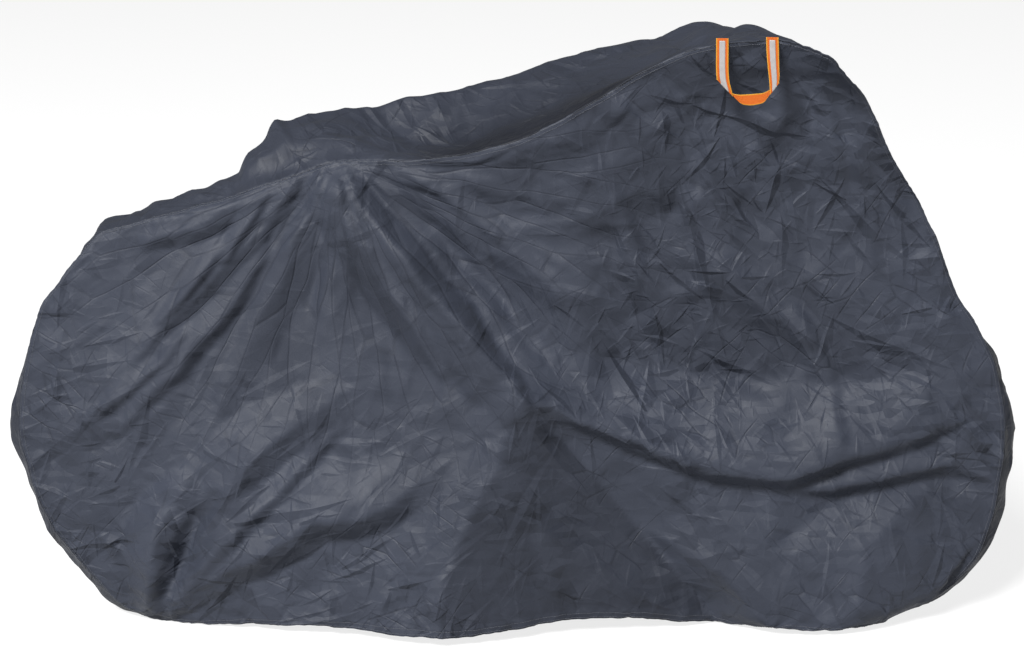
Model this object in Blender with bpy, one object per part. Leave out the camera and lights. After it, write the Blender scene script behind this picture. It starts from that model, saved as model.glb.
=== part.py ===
"""Fitted cover for a whole bicycle, in three sewn sheets, hollow and open at the bottom.

Two side panels are joined by a centre strip, which runs from the rear hem up over the saddle and
the handlebar and down to the front hem. A webbing loop hangs from the near seam at the handlebar.

Metres. +X runs forward along the bicycle, the near side is -Y, +Z is up and the lowest hem is at
z = 0. The bar is turned a little, so that its near grip lies further forward than its far grip.
"""
import bpy
import bmesh
import numpy as np
from mathutils import Matrix

# ---- driving dimensions -------------------------------------------------------------------------
CLOTH_THICKNESS = 0.0014
PIECE_GAP = 0.0003             # clear space between two neighbouring pieces
SEAM_CALM = 0.045              # folds die out over this distance from a seam
POST_TIP = 0.020               # how round the cloth is over a pedal or a hub
FOLD_END = 0.35                # a fold's height at its two ends, as a share of its middle's
FOLD_CELLS = 8                 # straight pieces of a fold's crest
SHARP_ANGLE = 50.0             # degrees: shading breaks at the cloth's cut edges
STEEPEST_MITRE = 0.4           # least cosine between a sheet's face and the cut at its seam

INSIDE_POINT = (0.0, 0.0, 0.45) # a point in the hollow, which outward faces turn away from

COLUMNS = 48                   # cells of the near panel along the seam over the top
ROWS = 30                      # cells of the near panel from the hem up
FAR_STEP = 2                   # the far panel has one cell for this many of the near panel's

WEBBING_WIDTH = 0.021
WEBBING_THICKNESS = 0.0024
LOOP_REAR_X = 0.339            # where the middle of each leg leaves the seam
LOOP_FRONT_X = 0.418
LOOP_DROP = 0.100              # from the seam to the lower edge
LEG_LENGTH = 0.060             # from the seam down to the turned corner
REAR_TURN = 0.042              # how far along the lower edge each turned corner reaches
FRONT_TURN = 0.026
INNER_TURN = 0.008
TAPE_WIDTH = 0.010
TAPE_THICKNESS = 0.0006
TAPE_LENGTH = 0.052
TAPE_START = 0.004             # below the seam

CLOTH_COLOUR = (0.056, 0.062, 0.085, 1.0)
WEBBING_COLOUR = (0.90, 0.22, 0.02, 1.0)
TAPE_COLOUR = (0.62, 0.61, 0.60, 1.0)

# ---- the two long seams -------------------------------------------------------------------------
# One row for each place where the centre strip crosses the bicycle, from the rear hem over the top
# to the front hem. near and far: where it is sewn to the side panels. Each lip is a ridge of the
# strip: how far in from its seam, as a share of the width, and how far out from the straight line
# between the seams. middle: how far out the strip's middle line lies.
STRIP_SECTIONS = [
    # part,    near (x, y, z),          far (x, y, z),           near lip,       middle, far lip
    ("rear",  (-0.658, -0.045, 0.003), (-0.655, 0.045, 0.003), (0.25, 0.002), 0.003, (0.25, 0.002)),
    ("rear",  (-0.718, -0.050, 0.038), (-0.715, 0.050, 0.040), (0.25, 0.015), 0.019, (0.25, 0.015)),
    ("rear",  (-0.780, -0.055, 0.119), (-0.778, 0.055, 0.120), (0.25, 0.018), 0.022, (0.25, 0.018)),
    ("rear",  (-0.826, -0.060, 0.191), (-0.824, 0.060, 0.190), (0.25, 0.018), 0.022, (0.25, 0.018)),
    ("rear",  (-0.855, -0.066, 0.282), (-0.853, 0.065, 0.280), (0.25, 0.018), 0.023, (0.25, 0.018)),
    ("rear",  (-0.868, -0.068, 0.393), (-0.866, 0.065, 0.390), (0.25, 0.022), 0.026, (0.25, 0.022)),
    ("rear",  (-0.830, -0.066, 0.565), (-0.832, 0.065, 0.562), (0.25, 0.008), 0.010, (0.25, 0.008)),
    ("rear",  (-0.783, -0.064, 0.638), (-0.785, 0.062, 0.636), (0.25, 0.004), 0.004, (0.25, 0.004)),
    ("top",   (-0.714, -0.062, 0.720), (-0.715, 0.060, 0.720), (0.25, 0.006), 0.008, (0.25, 0.008)),
    ("top",   (-0.541, -0.080, 0.770), (-0.545, 0.080, 0.765), (0.25, 0.020), 0.026, (0.25, 0.020)),
    ("top",   (-0.474, -0.082, 0.789), (-0.480, 0.085, 0.790), (0.25, 0.028), 0.040, (0.25, 0.032)),
    ("top",   (-0.436, -0.084, 0.803), (-0.442, 0.087, 0.805), (0.25, 0.040), 0.059, (0.25, 0.048)),
    ("top",   (-0.402, -0.085, 0.814), (-0.410, 0.090, 0.818), (0.25, 0.044), 0.062, (0.25, 0.052)),
    ("top",   (-0.373, -0.086, 0.823), (-0.382, 0.094, 0.828), (0.25, 0.052), 0.076, (0.28, 0.082)),
    ("top",   (-0.292, -0.090, 0.849), (-0.300, 0.105, 0.850), (0.16, 0.030), 0.056, (0.18, 0.067)),
    ("top",   (-0.148, -0.120, 0.858), (-0.170, 0.135, 0.865), (0.10, 0.026), 0.032, (0.12, 0.077)),
    ("top",   (-0.005, -0.155, 0.891), (-0.040, 0.168, 0.905), (0.09, 0.042), 0.034, (0.10, 0.069)),
    ("top",   (0.107, -0.180, 0.948),  (0.060, 0.190, 0.941),  (0.07, 0.040), 0.024, (0.08, 0.053)),
    ("top",   (0.213, -0.200, 1.015),  (0.160, 0.212, 0.972),  (0.07, 0.030), 0.020, (0.06, 0.043)),
    ("top",   (0.296, -0.215, 1.054),  (0.240, 0.232, 0.998),  (0.07, 0.024), 0.018, (0.05, 0.031)),
    ("top",   (0.398, -0.230, 1.070),  (0.312, 0.254, 1.014),  (0.08, 0.010), 0.020, (0.05, 0.034)),
    ("top",   (0.456, -0.240, 1.066),  (0.350, 0.258, 1.014),  (0.08, 0.012), 0.036, (0.05, 0.034)),
    ("front", (0.514, -0.250, 1.043),  (0.390, 0.258, 1.000),  (0.08, 0.014), 0.036, (0.06, 0.024)),
    ("front", (0.545, -0.227, 1.006),  (0.440, 0.236, 0.962),  (0.15, 0.010), 0.022, (0.10, 0.020)),
    ("front", (0.583, -0.192, 0.963),  (0.505, 0.195, 0.905),  (0.20, 0.006), 0.012, (0.20, 0.010)),
    ("front", (0.637, -0.142, 0.863),  (0.590, 0.145, 0.815),  (0.25, 0.004), 0.008, (0.25, 0.006)),
    ("front", (0.689, -0.102, 0.786),  (0.660, 0.105, 0.755),  (0.25, 0.004), 0.008, (0.25, 0.006)),
    ("front", (0.735, -0.080, 0.700),  (0.720, 0.084, 0.680),  (0.25, 0.004), 0.008, (0.25, 0.006)),
    ("front", (0.769, -0.070, 0.618),  (0.762, 0.072, 0.605),  (0.25, 0.006), 0.008, (0.25, 0.006)),
    ("front", (0.809, -0.065, 0.558),  (0.805, 0.066, 0.548),  (0.25, 0.008), 0.010, (0.25, 0.008)),
    ("front", (0.851, -0.060, 0.474),  (0.850, 0.062, 0.468),  (0.25, 0.014), 0.018, (0.25, 0.014)),
    ("front", (0.872, -0.060, 0.372),  (0.870, 0.060, 0.370),  (0.25, 0.020), 0.026, (0.25, 0.020)),
    ("front", (0.869, -0.060, 0.268),  (0.868, 0.060, 0.270),  (0.25, 0.020), 0.026, (0.25, 0.020)),
    ("front", (0.852, -0.060, 0.166),  (0.852, 0.060, 0.168),  (0.25, 0.020), 0.026, (0.25, 0.020)),
    ("front", (0.819, -0.055, 0.096),  (0.819, 0.055, 0.098),  (0.25, 0.018), 0.024, (0.25, 0.018)),
    ("front", (0.765, -0.050, 0.043),  (0.765, 0.050, 0.044),  (0.25, 0.013), 0.016, (0.25, 0.013)),
    ("front", (0.687, -0.045, 0.004),  (0.687, 0.045, 0.005),  (0.25, 0.002), 0.003, (0.25, 0.002)),
]

# ---- hems: free lower edges of the side panels, between the strip's two ends (x, y, z) ----------
NEAR_HEM = [
    (-0.610, -0.060, 0.001), (-0.511, -0.085, 0.007), (-0.414, -0.110, 0.016), (-0.306, -0.130, 0.019),
    (-0.198, -0.152, 0.014), (-0.074, -0.160, 0.016), (0.014, -0.155, 0.026), (0.100, -0.138, 0.034),
    (0.191, -0.136, 0.036), (0.335, -0.120, 0.019), (0.444, -0.100, 0.010), (0.555, -0.082, 0.001),
    (0.640, -0.056, 0.001),
]
FAR_HEM = [
    (-0.560, 0.072, 0.004), (-0.410, 0.108, 0.014), (-0.260, 0.132, 0.022), (-0.110, 0.150, 0.016),
    (0.030, 0.160, 0.020), (0.180, 0.140, 0.030), (0.330, 0.118, 0.018), (0.470, 0.096, 0.006),
    (0.600, 0.068, 0.002),
]

# ---- what pushes a side panel out, from inside: (x, z), reach, height ---------------------------
NEAR_POSTS = [
    ("pedal",     (0.022, 0.455),  0.130, 0.062),
    ("saddle",    (-0.300, 0.815), 0.110, 0.010),
    ("front hub", (0.545, 0.330),  0.150, 0.012),
    ("rear hub",  (-0.505, 0.330), 0.170, 0.014),
]
FAR_POSTS = [
    ("pedal",     (-0.020, 0.150), 0.120, 0.040),
    ("front hub", (0.545, 0.330),  0.150, 0.012),
    ("rear hub",  (-0.505, 0.330), 0.170, 0.016),
]

# ---- main folds of the side panels --------------------------------------------------------------
# Each crest runs through its (x, z) points. Its rear and front flanks fall off over their own
# widths, and height is how far it stands out. A negative height is a valley.
NEAR_FOLDS = [
    # name,             crest points (x, z),                                   rear,  front, height
    ("saddle to pedal", [(-0.290, 0.825), (-0.140, 0.640), (0.010, 0.455)],   0.085, 0.055, 0.030),
    ("ahead of it",     [(-0.215, 0.815), (-0.120, 0.705), (0.010, 0.560)],   0.045, 0.070, -0.016),
    ("second fan",      [(-0.230, 0.825), (-0.150, 0.775), (-0.050, 0.700)],  0.045, 0.042, 0.014),
    ("wheel long",      [(-0.375, 0.795), (-0.530, 0.640), (-0.690, 0.435)],  0.070, 0.050, 0.022),
    ("wheel middle",    [(-0.420, 0.805), (-0.540, 0.742), (-0.690, 0.672)],  0.045, 0.040, 0.014),
    ("chain stay",      [(-0.340, 0.790), (-0.487, 0.590), (-0.645, 0.375)],  0.055, 0.045, 0.013),
    ("low rear short",  [(-0.340, 0.405), (-0.475, 0.305), (-0.560, 0.150)],  0.055, 0.045, 0.015),
    ("low rear strong", [(-0.170, 0.290), (-0.338, 0.200), (-0.610, 0.062)],  0.065, 0.045, 0.024),
    ("rear corner",     [(-0.580, 0.250), (-0.630, 0.150), (-0.652, 0.080)],  0.042, 0.040, 0.016),
    ("pedal rear",      [(0.012, 0.430), (-0.074, 0.235), (-0.135, 0.020)],   0.060, 0.055, 0.026),
    ("pedal front",     [(0.040, 0.420), (0.190, 0.235), (0.343, 0.050)],     0.060, 0.070, 0.022),
    ("pedal down",      [(0.026, 0.400), (0.032, 0.235), (0.036, 0.030)],     0.040, 0.040, 0.012),
    ("swag",            [(0.060, 0.425), (0.267, 0.342), (0.487, 0.278)],     0.040, 0.075, 0.024),
    ("swag to front",   [(0.487, 0.278), (0.642, 0.336), (0.835, 0.382)],     0.075, 0.040, 0.020),
    ("under swag",      [(0.470, 0.250), (0.593, 0.242), (0.800, 0.305)],     0.045, 0.040, 0.014),
    ("bar rear",        [(0.164, 0.935), (0.199, 0.822), (0.244, 0.684)],     0.060, 0.045, 0.016),
    ("bar front",       [(0.447, 0.995), (0.423, 0.941), (0.387, 0.850)],     0.045, 0.042, 0.009),
    ("grip",            [(0.530, 0.985), (0.545, 0.924), (0.560, 0.797)],     0.045, 0.042, 0.012),
    ("fork upper",      [(0.385, 0.681), (0.509, 0.558), (0.567, 0.472)],     0.045, 0.045, 0.011),
    ("fork lower",      [(0.494, 0.579), (0.534, 0.508), (0.574, 0.363)],     0.042, 0.042, 0.009),
    ("front rim",       [(0.818, 0.463), (0.748, 0.472), (0.684, 0.373)],     0.042, 0.042, 0.010),
    ("under the bar",   [(0.060, 0.690), (0.250, 0.610), (0.560, 0.585)],     0.090, 0.090, -0.020),
]
FAR_FOLDS = [
    ("saddle to pedal", [(-0.290, 0.820), (-0.170, 0.520), (-0.030, 0.190)],  0.075, 0.075, 0.020),
    ("saddle to wheel", [(-0.360, 0.800), (-0.520, 0.610), (-0.690, 0.420)],  0.075, 0.075, 0.016),
    ("wheel to hem",    [(-0.230, 0.350), (-0.420, 0.190), (-0.600, 0.060)],  0.075, 0.075, 0.014),
    ("pedal rear",      [(-0.040, 0.150), (-0.110, 0.080), (-0.160, 0.000)],  0.070, 0.070, 0.012),
    ("pedal front",     [(0.000, 0.160), (0.120, 0.080), (0.200, 0.000)],     0.070, 0.070, 0.012),
    ("bar to middle",   [(0.250, 0.940), (0.160, 0.700), (0.040, 0.440)],     0.080, 0.080, 0.016),
    ("swag",            [(0.100, 0.400), (0.380, 0.250), (0.700, 0.330)],     0.080, 0.080, 0.015),
    ("bar to fork",     [(0.400, 0.930), (0.480, 0.720), (0.600, 0.520)],     0.075, 0.075, 0.013),
]
# The centre strip's own folds run straight across it, each at a share of its part's length.
STRIP_FOLDS = [
    # part,  along, half length, height
    ("top",   0.075, 0.050, 0.008),
    ("top",   0.190, 0.050, -0.012),
    ("top",   0.330, 0.045, 0.006),
    ("top",   0.520, 0.060, -0.010),
    ("top",   0.700, 0.060, 0.006),
    ("top",   0.865, 0.045, -0.016),
    ("front", 0.160, 0.070, -0.008),
    ("front", 0.330, 0.070, 0.007),
    ("rear",  0.500, 0.070, 0.005),
]


# ---- curves and surfaces ------------------------------------------------------------------------
def smooth_curve(points, cells):
    """Evenly spaced points along a smooth curve through the given points."""
    points = np.array(points, dtype=float)
    before = 2.0 * points[0] - points[1]
    after = 2.0 * points[-1] - points[-2]
    padded = np.vstack([before, points, after])
    share = np.linspace(0.0, 1.0, 24, endpoint=False)[:, None]
    pieces = []
    for index in range(len(points) - 1):
        p0, p1, p2, p3 = padded[index:index + 4]
        bend = 2.0 * p0 - 5.0 * p1 + 4.0 * p2 - p3
        turn = 3.0 * p1 - p0 - 3.0 * p2 + p3
        pieces.append(0.5 * (2.0 * p1 + (p2 - p0) * share + bend * share**2 + turn * share**3))
    dense = np.vstack(pieces + [points[-1:]])
    return resample(dense, cells)


def resample(dense, cells):
    """The same polyline with cells + 1 points, evenly spaced in x, y and z."""
    steps = np.linalg.norm(np.diff(dense[:, :3], axis=0), axis=1)
    along = np.concatenate([[0.0], np.cumsum(steps)])
    wanted = np.linspace(0.0, along[-1], cells + 1)
    return np.column_stack([np.interp(wanted, along, dense[:, axis]) for axis in range(dense.shape[1])])


def strip_stations(part, first, last):
    """Seams, lips and middle of one part of the strip, as rows of numbers along its length.

    Each row holds near x y z, far x y z, near lip inset and rise, middle rise, far lip inset and rise.
    """
    rows = [list(near) + list(far) + list(near_lip) + [middle] + list(far_lip)
            for _part, near, far, near_lip, middle, far_lip in STRIP_SECTIONS[first:last + 1]]
    cells = COLUMNS if part == "top" else ROWS
    return smooth_curve(rows, cells)


def unit(vectors):
    """The vectors, each one metre long."""
    return vectors / np.linalg.norm(vectors, axis=-1, keepdims=True)


def bell(distance, width):
    """A smooth bump: 1 at no distance and 0 from the given width on."""
    share = np.clip(np.abs(distance) / width, 0.0, 1.0)
    return 0.5 + 0.5 * np.cos(np.pi * share)


def coons(hem, rear, top, front):
    """A surface that fills four edges. It has a row for each point up and a column for each along."""
    up = np.linspace(0.0, 1.0, len(rear))[:, None, None]
    along = np.linspace(0.0, 1.0, len(hem))[None, :, None]
    between_hem_and_top = (1.0 - up) * hem[None, :, :] + up * top[None, :, :]
    between_rear_and_front = (1.0 - along) * rear[:, None, :] + along * front[:, None, :]
    low = (1.0 - along) * hem[0] + along * hem[-1]
    high = (1.0 - along) * top[0] + along * top[-1]
    return between_hem_and_top + between_rear_and_front - ((1.0 - up) * low + up * high)


def distance_to_line(x, z, start, end):
    """Distance from a straight crest, which side of it, and how far along it."""
    run = np.array(end) - np.array(start)
    length = np.hypot(*run)
    along = ((x - start[0]) * run[0] + (z - start[1]) * run[1]) / length**2
    side = ((x - start[0]) * run[1] - (z - start[1]) * run[0]) / length
    held = np.clip(along, 0.0, 1.0)
    gap = np.hypot(x - start[0] - held * run[0], z - start[1] - held * run[1])
    return gap, side, held


def fold_height(x, z, crest, rear_width, front_width, height):
    """How far one fold lifts the panel at each (x, z)."""
    crest = smooth_curve(crest, FOLD_CELLS)
    lift = np.zeros_like(x)
    for index in range(len(crest) - 1):
        gap, side, held = distance_to_line(x, z, crest[index], crest[index + 1])
        falling = crest[0][1] > crest[-1][1]
        ahead = (side < 0.0) if falling else (side > 0.0)
        width = np.where(ahead, front_width, rear_width)
        place = (index + held) / (len(crest) - 1)
        taper = FOLD_END + (1.0 - FOLD_END) * np.sin(np.pi * np.clip(place, 0.0, 1.0))
        lift = np.maximum(lift, bell(gap, width) * taper)
    return height * lift


def side_surface(hem, rear, top, front, posts, folds, outward):
    """A side panel's outer face, with what pushes it out and its folds. outward is -1 or 1 along Y."""
    surface = coons(hem, rear, top, front)
    x = surface[:, :, 0]
    z = surface[:, :, 2]
    lift = np.zeros_like(x)
    for _name, place, reach, height in posts:
        away = np.hypot(x - place[0], z - place[1])
        lift += height * np.exp(-np.hypot(away, POST_TIP) / reach)
    for _name, crest, rear_width, front_width, height in folds:
        lift += fold_height(x, z, crest, rear_width, front_width, height)
    seams = np.vstack([rear, top, front])
    to_seam = np.full(x.shape, np.inf)
    for point in seams:
        to_seam = np.minimum(to_seam, np.hypot(x - point[0], z - point[2]))
    calm = 1.0 - bell(to_seam, SEAM_CALM)
    surface[:, :, 1] += outward * lift * calm
    return surface


def strip_surface(stations, outward_at, folds_at):
    """The centre strip's outer face: a row for each line along it, a column for each station."""
    near = stations[:, 0:3]
    far = stations[:, 3:6]
    lines = []
    near_in, near_out, middle_out, far_in, far_out = stations[:, 6:11].T
    half = np.full_like(near_in, 0.5)
    nought = np.zeros_like(near_in)
    knots = [(nought, nought), (near_in, near_out), (half, middle_out), (1.0 - far_in, far_out),
             (nought + 1.0, nought)]
    for (start, start_out), (end, end_out) in zip(knots[:-1], knots[1:]):
        for share in (0.0, 0.5):
            lines.append((start + share * (end - start), start_out + share * (end_out - start_out)))
    lines.append(knots[-1])
    surface = []
    for across, out in lines:
        round_off = 4.0 * across * (1.0 - across)
        rise = out + folds_at * round_off
        surface.append(near + across[:, None] * (far - near) + rise[:, None] * outward_at)
    return np.array(surface)


def outward_normals(surface, hint):
    """Unit normals of a surface's points, turned to the side that the hint points to."""
    down_rows, along_columns = np.gradient(surface, axis=(0, 1))
    normals = unit(np.cross(along_columns, down_rows))
    flip = np.sign(np.sum(normals * hint, axis=-1, keepdims=True))
    return normals * flip


# ---- from surfaces to sheets --------------------------------------------------------------------
def mitre(own, other):
    """Shared direction in which two sheets that meet at a seam are cut, longer where they bend."""
    middle = unit(own + other)
    slope = np.clip(np.sum(middle * own, axis=-1, keepdims=True), STEEPEST_MITRE, 1.0)
    return middle / slope


def pull_back(points, inner_points, cut):
    """A seam edge moved by half the gap between two pieces, away from the cut's plane."""
    along = unit(np.gradient(points, axis=0))
    plane_normal = unit(np.cross(along, cut))
    side = np.sign(np.sum((inner_points - points) * plane_normal, axis=-1, keepdims=True))
    inward = inner_points - points
    inward -= np.sum(inward * along, axis=-1, keepdims=True) * along
    inward = unit(inward)
    lean = np.sum(inward * plane_normal * side, axis=-1, keepdims=True)
    return points + inward * (PIECE_GAP / 2.0) / np.clip(lean, STEEPEST_MITRE, 1.0)


def sheet_object(name, outer, inner, material, collection):
    """One closed sheet: a grid thickened by an extrusion, with both faces pulled to their places."""
    rows, columns = outer.shape[:2]
    mesh = bmesh.new()
    bmesh.ops.create_grid(mesh, x_segments=columns - 1, y_segments=rows - 1, size=0.5)
    outer_points = set(mesh.verts)
    bmesh.ops.extrude_face_region(mesh, geom=mesh.faces[:])
    for point in mesh.verts:
        column = round((point.co.x + 0.5) * (columns - 1))
        row = round((point.co.y + 0.5) * (rows - 1))
        place = outer[row, column] if point in outer_points else inner[row, column]
        point.co = place
    bmesh.ops.triangulate(mesh, faces=mesh.faces[:])
    bmesh.ops.recalc_face_normals(mesh, faces=mesh.faces[:])
    return mesh_object(name, mesh, material, collection)


def mesh_object(name, mesh, material, collection):
    """A named object from finished geometry, shaded smooth but for its cut edges."""
    data = bpy.data.meshes.new(name)
    mesh.to_mesh(data)
    mesh.free()
    data.materials.append(material)
    data.shade_smooth()
    data.set_sharp_from_angle(angle=np.radians(SHARP_ANGLE))
    thing = bpy.data.objects.new(name, data)
    collection.objects.link(thing)
    return thing


def plain_material(name, colour, roughness, metallic=0.0):
    """A Principled material of one colour."""
    material = bpy.data.materials.new(name)
    material.use_nodes = True
    shader = material.node_tree.nodes["Principled BSDF"]
    shader.inputs["Base Color"].default_value = colour
    shader.inputs["Roughness"].default_value = roughness
    shader.inputs["Metallic"].default_value = metallic
    return material


# ---- the pieces ---------------------------------------------------------------------------------
def make_cover(collection):
    """Both side panels and the centre strip, cut and gapped along their shared seams.

    Returns the near seam over the top, and the outer points near it, for what is sewn there.
    """
    cloth = plain_material("cover_cloth", CLOTH_COLOUR, 0.55)
    kinds = [row[0] for row in STRIP_SECTIONS]
    first_top = kinds.index("top")
    first_front = kinds.index("front")
    rear = strip_stations("rear", 0, first_top)
    top = strip_stations("top", first_top, first_front)
    front = strip_stations("front", first_front, len(kinds) - 1)
    stations = np.vstack([rear, top[1:], front[1:]])
    # Between the far panel's points, the strip's far edge runs straight, so that they still match.
    for index in range(1, len(stations) - 1):
        if index % FAR_STEP:
            stations[index, 3:6] = (stations[index - 1, 3:6] + stations[index + 1, 3:6]) / 2.0

    middles = (stations[:, 0:3] + stations[:, 3:6]) / 2.0
    across = unit(stations[:, 3:6] - stations[:, 0:3])
    along = unit(np.gradient(middles, axis=0))
    outward_at = unit(np.cross(along, across))
    inside = np.array(INSIDE_POINT)
    outward_at *= np.sign(np.sum(outward_at * (middles - inside), axis=-1, keepdims=True))

    parts = [("rear", 0, ROWS), ("top", ROWS, COLUMNS), ("front", ROWS + COLUMNS, ROWS)]
    folds_at = np.zeros(len(stations))
    for wanted, place, half_length, height in STRIP_FOLDS:
        for part, start, cells in parts:
            if part == wanted:
                share = (np.arange(len(stations)) - start) / cells
                folds_at += height * bell(share - place, half_length)
    strip = strip_surface(stations, outward_at, folds_at)

    panels = {}
    for side, seam, hem_points, posts, folds, step, outward in (
            ("near", stations[:, 0:3], NEAR_HEM, NEAR_POSTS, NEAR_FOLDS, 1, -1.0),
            ("far", stations[:, 3:6], FAR_HEM, FAR_POSTS, FAR_FOLDS, FAR_STEP, 1.0)):
        rear_edge = seam[0:ROWS + 1:step]
        top_edge = seam[ROWS:ROWS + COLUMNS + 1:step]
        front_edge = seam[:ROWS + COLUMNS - 1:-step]
        hem = smooth_curve([seam[0]] + hem_points + [seam[-1]], COLUMNS // step)
        panels[side] = side_surface(hem, rear_edge, top_edge, front_edge, posts, folds, outward)

    strip_normals = outward_normals(strip, outward_at[None, :, :])
    strip_outer = strip.copy()
    strip_inner = strip - strip_normals * CLOTH_THICKNESS
    for side, row, step, outward in (("near", 0, 1, -1.0), ("far", -1, FAR_STEP, 1.0)):
        panel = panels[side]
        normals = outward_normals(panel, np.array([0.0, outward, 0.0]))
        outer = panel.copy()
        inner = panel - normals * CLOTH_THICKNESS
        rows, columns = panel.shape[:2]
        # the seam runs up the rear edge, along the top and down the front edge
        path = [(index, 0) for index in range(rows)]
        path += [(rows - 1, index) for index in range(1, columns)]
        path += [(index, columns - 1) for index in range(rows - 2, -1, -1)]
        path = np.array(path)
        inside_path = np.clip(path, [0, 1], [rows - 2, columns - 2])
        picked = slice(None, None, step)
        edge = panel[path[:, 0], path[:, 1]]
        beside = panel[inside_path[:, 0], inside_path[:, 1]]
        own = normals[path[:, 0], path[:, 1]]
        other = strip_normals[row, picked]
        cut = mitre(own, other)
        seated = pull_back(edge, beside, cut)
        outer[path[:, 0], path[:, 1]] = seated
        inner[path[:, 0], path[:, 1]] = seated - cut * CLOTH_THICKNESS
        sheet_object(f"{side}_side_panel", outer, inner, cloth, collection)

        next_row = 1 if row == 0 else -2
        stations_cut = np.empty_like(strip[row])
        at = np.arange(len(stations))
        for axis in range(3):
            stations_cut[:, axis] = np.interp(at, at[picked], cut[:, axis])
        strip_seat = pull_back(strip[row], strip[next_row], stations_cut)
        strip_outer[row] = strip_seat
        strip_inner[row] = strip_seat - stations_cut * CLOTH_THICKNESS
    sheet_object("centre_strip", strip_outer, strip_inner, cloth, collection)
    return top[:, 0:3], np.vstack([panels["near"].reshape(-1, 3), strip.reshape(-1, 3)])


def loop_frame(near_edge, panel):
    """Where the handle loop hangs: its middle on the seam, and its sideways, up and outward axes."""
    rear = np.array([np.interp(LOOP_REAR_X, near_edge[:, 0], near_edge[:, axis]) for axis in range(3)])
    front = np.array([np.interp(LOOP_FRONT_X, near_edge[:, 0], near_edge[:, axis]) for axis in range(3)])
    sideways = unit((front - rear) * [1.0, 1.0, 0.0])
    up = np.array([0.0, 0.0, 1.0])
    outward = np.cross(sideways, up)
    middle = (rear + front) / 2.0
    # the loop stands just clear of whatever of the panel lies behind it
    behind = panel.reshape(-1, 3) - middle
    half_width = (LOOP_FRONT_X - LOOP_REAR_X + WEBBING_WIDTH) / 2.0
    covered = (np.abs(behind @ sideways) < half_width + WEBBING_WIDTH) & (behind @ up > -LOOP_DROP)
    seat = np.max(behind[covered] @ outward) + PIECE_GAP
    return middle + seat * outward, sideways, up, outward


def flat_piece(name, outline, thickness, offset, frame, material, collection):
    """A flat outline with a thickness, its back at an offset from the loop's own plane."""
    origin, sideways, up, outward = frame
    curve = bpy.data.curves.new(name, "CURVE")
    curve.dimensions = "2D"
    curve.fill_mode = "BOTH"
    curve.extrude = thickness / 2.0
    spline = curve.splines.new("POLY")
    spline.points.add(len(outline) - 1)
    for point, (across, height) in zip(spline.points, outline):
        point.co = (across, height, 0.0, 1.0)
    spline.use_cyclic_u = True
    curve.materials.append(material)
    piece = bpy.data.objects.new(name, curve)
    middle = origin + outward * (offset + thickness / 2.0)
    turn = Matrix((sideways, up, outward)).transposed().to_4x4()
    piece.matrix_world = Matrix.Translation(middle) @ turn
    collection.objects.link(piece)
    return piece


def make_handle(near_edge, panel, collection):
    """The webbing loop, its corners turned over on the diagonal, and the tape on its two legs."""
    webbing = plain_material("handle_webbing", WEBBING_COLOUR, 0.6)
    tape = plain_material("reflective_tape", TAPE_COLOUR, 0.3, 0.4)
    frame = loop_frame(near_edge, panel)
    leg = (LOOP_FRONT_X - LOOP_REAR_X) / 2.0
    inner = leg - WEBBING_WIDTH / 2.0
    outer = leg + WEBBING_WIDTH / 2.0
    run = LOOP_DROP - WEBBING_WIDTH
    rear_top = np.interp(LOOP_REAR_X, near_edge[:, 0], near_edge[:, 2]) - frame[0][2]
    front_top = np.interp(LOOP_FRONT_X, near_edge[:, 0], near_edge[:, 2]) - frame[0][2]
    outline = [
        (-outer, rear_top), (-outer, -LEG_LENGTH), (REAR_TURN - outer, -LOOP_DROP),
        (outer - FRONT_TURN, -LOOP_DROP), (outer, -LEG_LENGTH), (outer, front_top),
        (inner, front_top), (inner, -LEG_LENGTH), (inner - INNER_TURN, -run),
        (INNER_TURN - inner, -run), (-inner, -LEG_LENGTH), (-inner, rear_top),
    ]
    flat_piece("handle_loop", outline, WEBBING_THICKNESS, 0.0, frame, webbing, collection)
    for name, across, top in (("handle_tape_rear", -leg, rear_top), ("handle_tape_front", leg, front_top)):
        start = top - TAPE_START
        half = TAPE_WIDTH / 2.0
        strip = [(across - half, start), (across - half, start - TAPE_LENGTH),
                 (across + half, start - TAPE_LENGTH), (across + half, start)]
        offset = WEBBING_THICKNESS + PIECE_GAP
        flat_piece(name, strip, TAPE_THICKNESS, offset, frame, tape, collection)


def main():
    """Clear the scene, then make each piece in the cover's own collection."""
    for thing in list(bpy.data.objects):
        bpy.data.objects.remove(thing, do_unlink=True)
    collection = bpy.data.collections.new("bicycle_cover")
    bpy.context.scene.collection.children.link(collection)
    near_edge, panel = make_cover(collection)
    make_handle(near_edge, panel, collection)


main()
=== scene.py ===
import math

import bpy
import bmesh
import numpy as np
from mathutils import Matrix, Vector
from mathutils.bvhtree import BVHTree
from mathutils.geometry import delaunay_2d_cdt


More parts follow.
